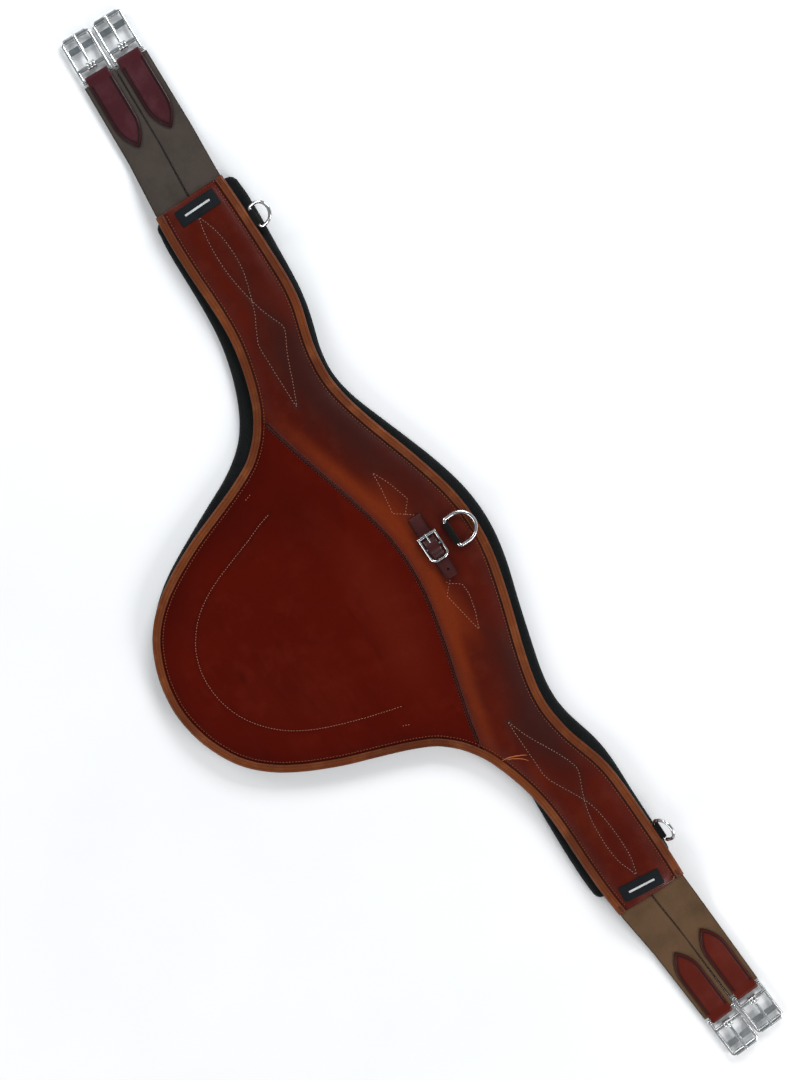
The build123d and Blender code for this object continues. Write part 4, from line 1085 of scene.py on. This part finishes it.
def make_straps():
    for name, s in STRAPS.items():
        side, (bx, by), a = s["side"], s["base"], math.radians(s["angle"])
        c, sn = math.cos(a), math.sin(a)
        end = np.array((bx - side * 4.2 * c, by - 4.2 * sn))
        flat = np.array((bx - side * 92.0 * c, by - 92.0 * sn))
        edge = np.array((side * HALF, s["y0"]))
        st = [(side * (HALF - 26), s["y0"], 13.7, 38.4), (edge[0] - side * 6, edge[1], 13.7, 38.4), (edge[0] + side * 3, edge[1], 13.65, 38.4)]
        for k, z in ((0.12, 13.25), (0.25, 12.2), (0.5, 9.5), (0.75, 6.6), (0.9, 5.1)):
            st.append((edge[0] + (flat[0] - edge[0]) * k + side * 3 * (1 - k), edge[1] + (flat[1] - edge[1]) * k, z, 38.4 + (s["w1"] - 38.4) * k * 0.4))
        st += [(flat[0], flat[1], Z_BAR, 38.4 + (s["w1"] - 38.4) * 0.4), (flat[0] + (end[0] - flat[0]) * 0.5, flat[1] + (end[1] - flat[1]) * 0.5, Z_BAR, 38.4 + (s["w1"] - 38.4) * 0.7), (end[0], end[1], Z_BAR, s["w1"])]
        st = np.array(st)
        L = np.r_[0, np.cumsum(np.linalg.norm(np.diff(st[:, :3], axis=0), axis=1))]
        t = np.arange(0, L[-1], 2.0)
        t = np.r_[t, L[-1]]
        q = np.stack([np.interp(t, L, st[:, i]) for i in range(4)], 1)
        q[:, 2] = relax(np.column_stack([t, q[:, 2]]), 6)[:, 1]
        prof = [(v, k) for v, k in zip(np.linspace(-1, 1, 29), [0.55, 0.92] + [1.0] * 25 + [0.92, 0.55])]
        hw = q[:, 3] / 2 + (0.12 if side < 0 else 0.30) + 0.02 * np.sin(t / 2.1)
        v, f, vv = ribbon(q[:, :3], (0, 1, 0), hw, 2.0, prof, 0.8)
        o = new_object(f"elastic_{name}_webbing", v, f)
        # edge: painted shade along each elastic's edges, so the gap between the paired elastics reads as a shadow line
        set_attr(o, "edge", np.clip((np.abs(vv) - 0.935) / 0.06, 0, 1) * 0.9)
        fix_normals(o)
        o.data.materials.append(M_ELASTIC_L if side < 0 else M_ELASTIC_R)
        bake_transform(o)
        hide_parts(f"elastic_{name}")

        # chape: up over the elastic from the tip, round the base bar and back underneath
        gap, T = 1.10, 1.85
        mid = gap + T / 2
        us = np.concatenate([[-84.0, -83.4, -82.4, -81], np.arange(-79, -10, 2.0), [-9.0, -6.5, -4.0, -2.0]])
        blend = np.clip((us + 9) / 9, 0, 1)
        top = [(u, mid + 0.9 * b) for u, b in zip(us, blend)]
        fold = [(2.88 * math.cos(x), 2.88 * math.sin(x)) for x in np.linspace(math.pi / 2, -math.pi / 2, 13)]
        path = top + fold + [(u, -z) for u, z in top[::-1]]
        U = np.array([side * c, sn, 0])
        Vv = np.array([-sn, side * c, 0])
        P = np.array([(bx, by, Z_BAR)]) + np.array([U * u + np.array([0, 0, z]) for u, z in path])
        uu = np.array([u for u, _ in path])
        sfrac = np.clip((uu + 84) / 30, 0, 1)
        hw = 13.5 * np.clip(1 - (1 - sfrac) ** 2, 0.0, 1) ** 0.82
        hw = np.maximum(hw, 0.5)
        hw[(uu > -10)] = 13.35
        cv = np.linspace(-1, 1, 25)
        CPROF = [(x, 0.42 if abs(x) > 0.99 else 0.88 if abs(x) > 0.9 else 1.0) for x in cv]
        v, f, vv = ribbon(P, Vv, hw, T, CPROF, 0.4)
        M = 2 * len(CPROF)
        rows = np.repeat(uu, M)
        hwr = np.repeat(hw, M)
        ou = np.arange(-84, -2.0, 1.0)
        ow = np.maximum(13.5 * np.clip(1 - (1 - np.clip((ou + 84) / 30, 0, 1)) ** 2, 0, 1) ** 0.82, 0.0)
        outline = np.vstack([np.column_stack([ou, ow])[::-1], np.column_stack([ou, -ow])])
        rim = dist(np.column_stack([rows, hwr * vv]), outline)
        rim[rows > -8] = 6
        upper = (v[:, 2] > Z_BAR + 2.2)
        v[:, 2] += upper * (0.30 * (1 - np.exp(-rim / 2.0)) - 0.42 * np.exp(-((rim - 3.1) / 0.75) ** 2))
        o = new_object(f"chape_{name}_leather", v, f)
        # edge: darker along the 3 mm margin and at the rim; the dark line over the stitch groove is painted shade
        set_attr(o, "edge", np.clip(0.5 / (1 + np.exp((rim - 3.0) / 0.3)) + 0.5 * np.clip(1 - rim / 1.2, 0, 1) + 0.95 * np.exp(-((rim - 3.2) / 0.95) ** 2), 0, 1))
        fix_normals(o)
        sub = o.modifiers.new("round", "SUBSURF")
        sub.levels = sub.render_levels = 1
        dress(o, M_CHAPE_L if side < 0 else M_CHAPE_R, "chape_left" if side < 0 else "chape_right", f"strap_end_{name}")
        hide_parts(f"chape_{name}")
        # stitch row 3.2 mm inside the edge
        segs = []
        ul = np.arange(-10, -84, -1.0)
        w = 13.5 * np.clip(1 - (1 - np.clip((ul + 84) / 30, 0, 1)) ** 2, 0, 1) ** 0.82
        curve = np.column_stack([ul, w])
        nrm = normals2(curve)
        inner = curve + nrm * 3.2
        if inner[0, 1] > curve[0, 1]:
            inner = curve - nrm * 3.2
        inner = inner[(inner[:, 1] > 0.3)]
        loop = np.vstack([inner, inner[::-1] * np.array([1, -1])])
        loop = relax(even(loop, 1.0), 6)
        world = np.array([(bx + U[0] * p[0] + Vv[0] * p[1], by + U[1] * p[0] + Vv[1] * p[1]) for p in loop])
        segs = stitch_line(world, lambda Q: np.full(len(Q), Z_BAR + gap + T * 1.0 - 0.10), 3.1, 1.9, sink=0.15, lift=0.2)
        v, f = tubes(segs, 0.28)
        o = new_object(f"chape_{name}_stitching", v, f)
        fix_normals(o)
        dress(o, M_THREAD_CHAPE, "thread", f"strap_end_{name}")


make_liner()
make_tapes()
make_body()
make_binding()
make_stitching()
make_creases()
make_labels()
make_loops()
make_loop_strap()
make_straps()

# ------------------------------------------------------------------ steel
for n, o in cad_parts.items():
    if any(k in n for k in ("buckle", "dee")) and "loop" not in n:
        o.data.materials.clear()
        o.data.materials.append(M_STEEL)
        o.data.polygons.foreach_set("use_smooth", [True] * len(o.data.polygons))
        o.data.set_sharp_from_angle(angle=math.radians(38))

# ------------------------------------------------------------------ floor, world, lights
me = bpy.data.meshes.new("floor")
me.from_pydata([(-6, -6, -0.0004), (6, -6, -0.0004), (6, 6, -0.0004), (-6, 6, -0.0004)], [], [(0, 1, 2, 3)])
floor = bpy.data.objects.new("floor", me)
bpy.context.scene.collection.objects.link(floor)
fm = Mat("floor")
fm.link(fm.mix(fm.ramp(fm.noise(3, 3), 0.3, 0.7, 0, 1), lin((243, 243, 244)), lin((238, 239, 240))), "Base Color")
fm.b.inputs["Roughness"].default_value = 0.9
fm.b.inputs["Specular IOR Level"].default_value = 0.1
me.materials.append(fm.m)

world = bpy.data.worlds.new("world")
bpy.context.scene.world = world
world.use_nodes = True
wn = world.node_tree
bg = wn.nodes["Background"]
geo = wn.nodes.new("ShaderNodeTexCoord")
sep = wn.nodes.new("ShaderNodeSeparateXYZ")
wn.links.new(geo.outputs["Generated"], sep.inputs[0])
up = wn.nodes.new("ShaderNodeValToRGB")
wn.links.new(sep.outputs["Z"], up.inputs[0])
e = up.color_ramp.elements
e[0].position, e[0].color = 0.0, (0.34, 0.36, 0.38, 1)
e[1].position, e[1].color = 1.0, (0.15, 0.215, 0.24, 1)
for pos, c in ((0.30, 0.20), (0.55, 0.50), (0.80, 0.46), (0.92, 0.26)):
    k = up.color_ramp.elements.new(pos)
    k.color = (c * 0.93, c * 0.98, c * 1.04, 1)
wn.links.new(up.outputs[0], bg.inputs["Color"])
bg.inputs["Strength"].default_value = WORLD


def area(name, loc, target, sx, sy, power, color=(1, 1, 1)):
    d = bpy.data.lights.new(name, "AREA")
    d.shape, d.size, d.size_y, d.energy, d.color = "RECTANGLE", sx, sy, power, color
    o = bpy.data.objects.new(name, d)
    o.location = loc
    o.rotation_mode = "QUATERNION"
    o.rotation_quaternion = (Vector(target) - Vector(loc)).to_track_quat("-Z", "Y")
    bpy.context.scene.collection.objects.link(o)


area("key", (-1.25, 1.55, 1.25), (0, 0.05, 0), 1.3, 0.7, 36, (0.96, 0.98, 1.0))
area("fill", (1.75, 0.85, 1.15), (0.1, 0.05, 0), 1.2, 0.7, 25, (1.0, 0.98, 0.96))
area("back", (0.5, -1.9, 1.2), (0, -0.05, 0), 1.8, 0.7, 20, (1.0, 0.99, 0.97))
area("side", (-1.9, -0.6, 1.1), (-0.1, -0.05, 0), 1.0, 0.6, 12, (1.0, 0.99, 0.98))
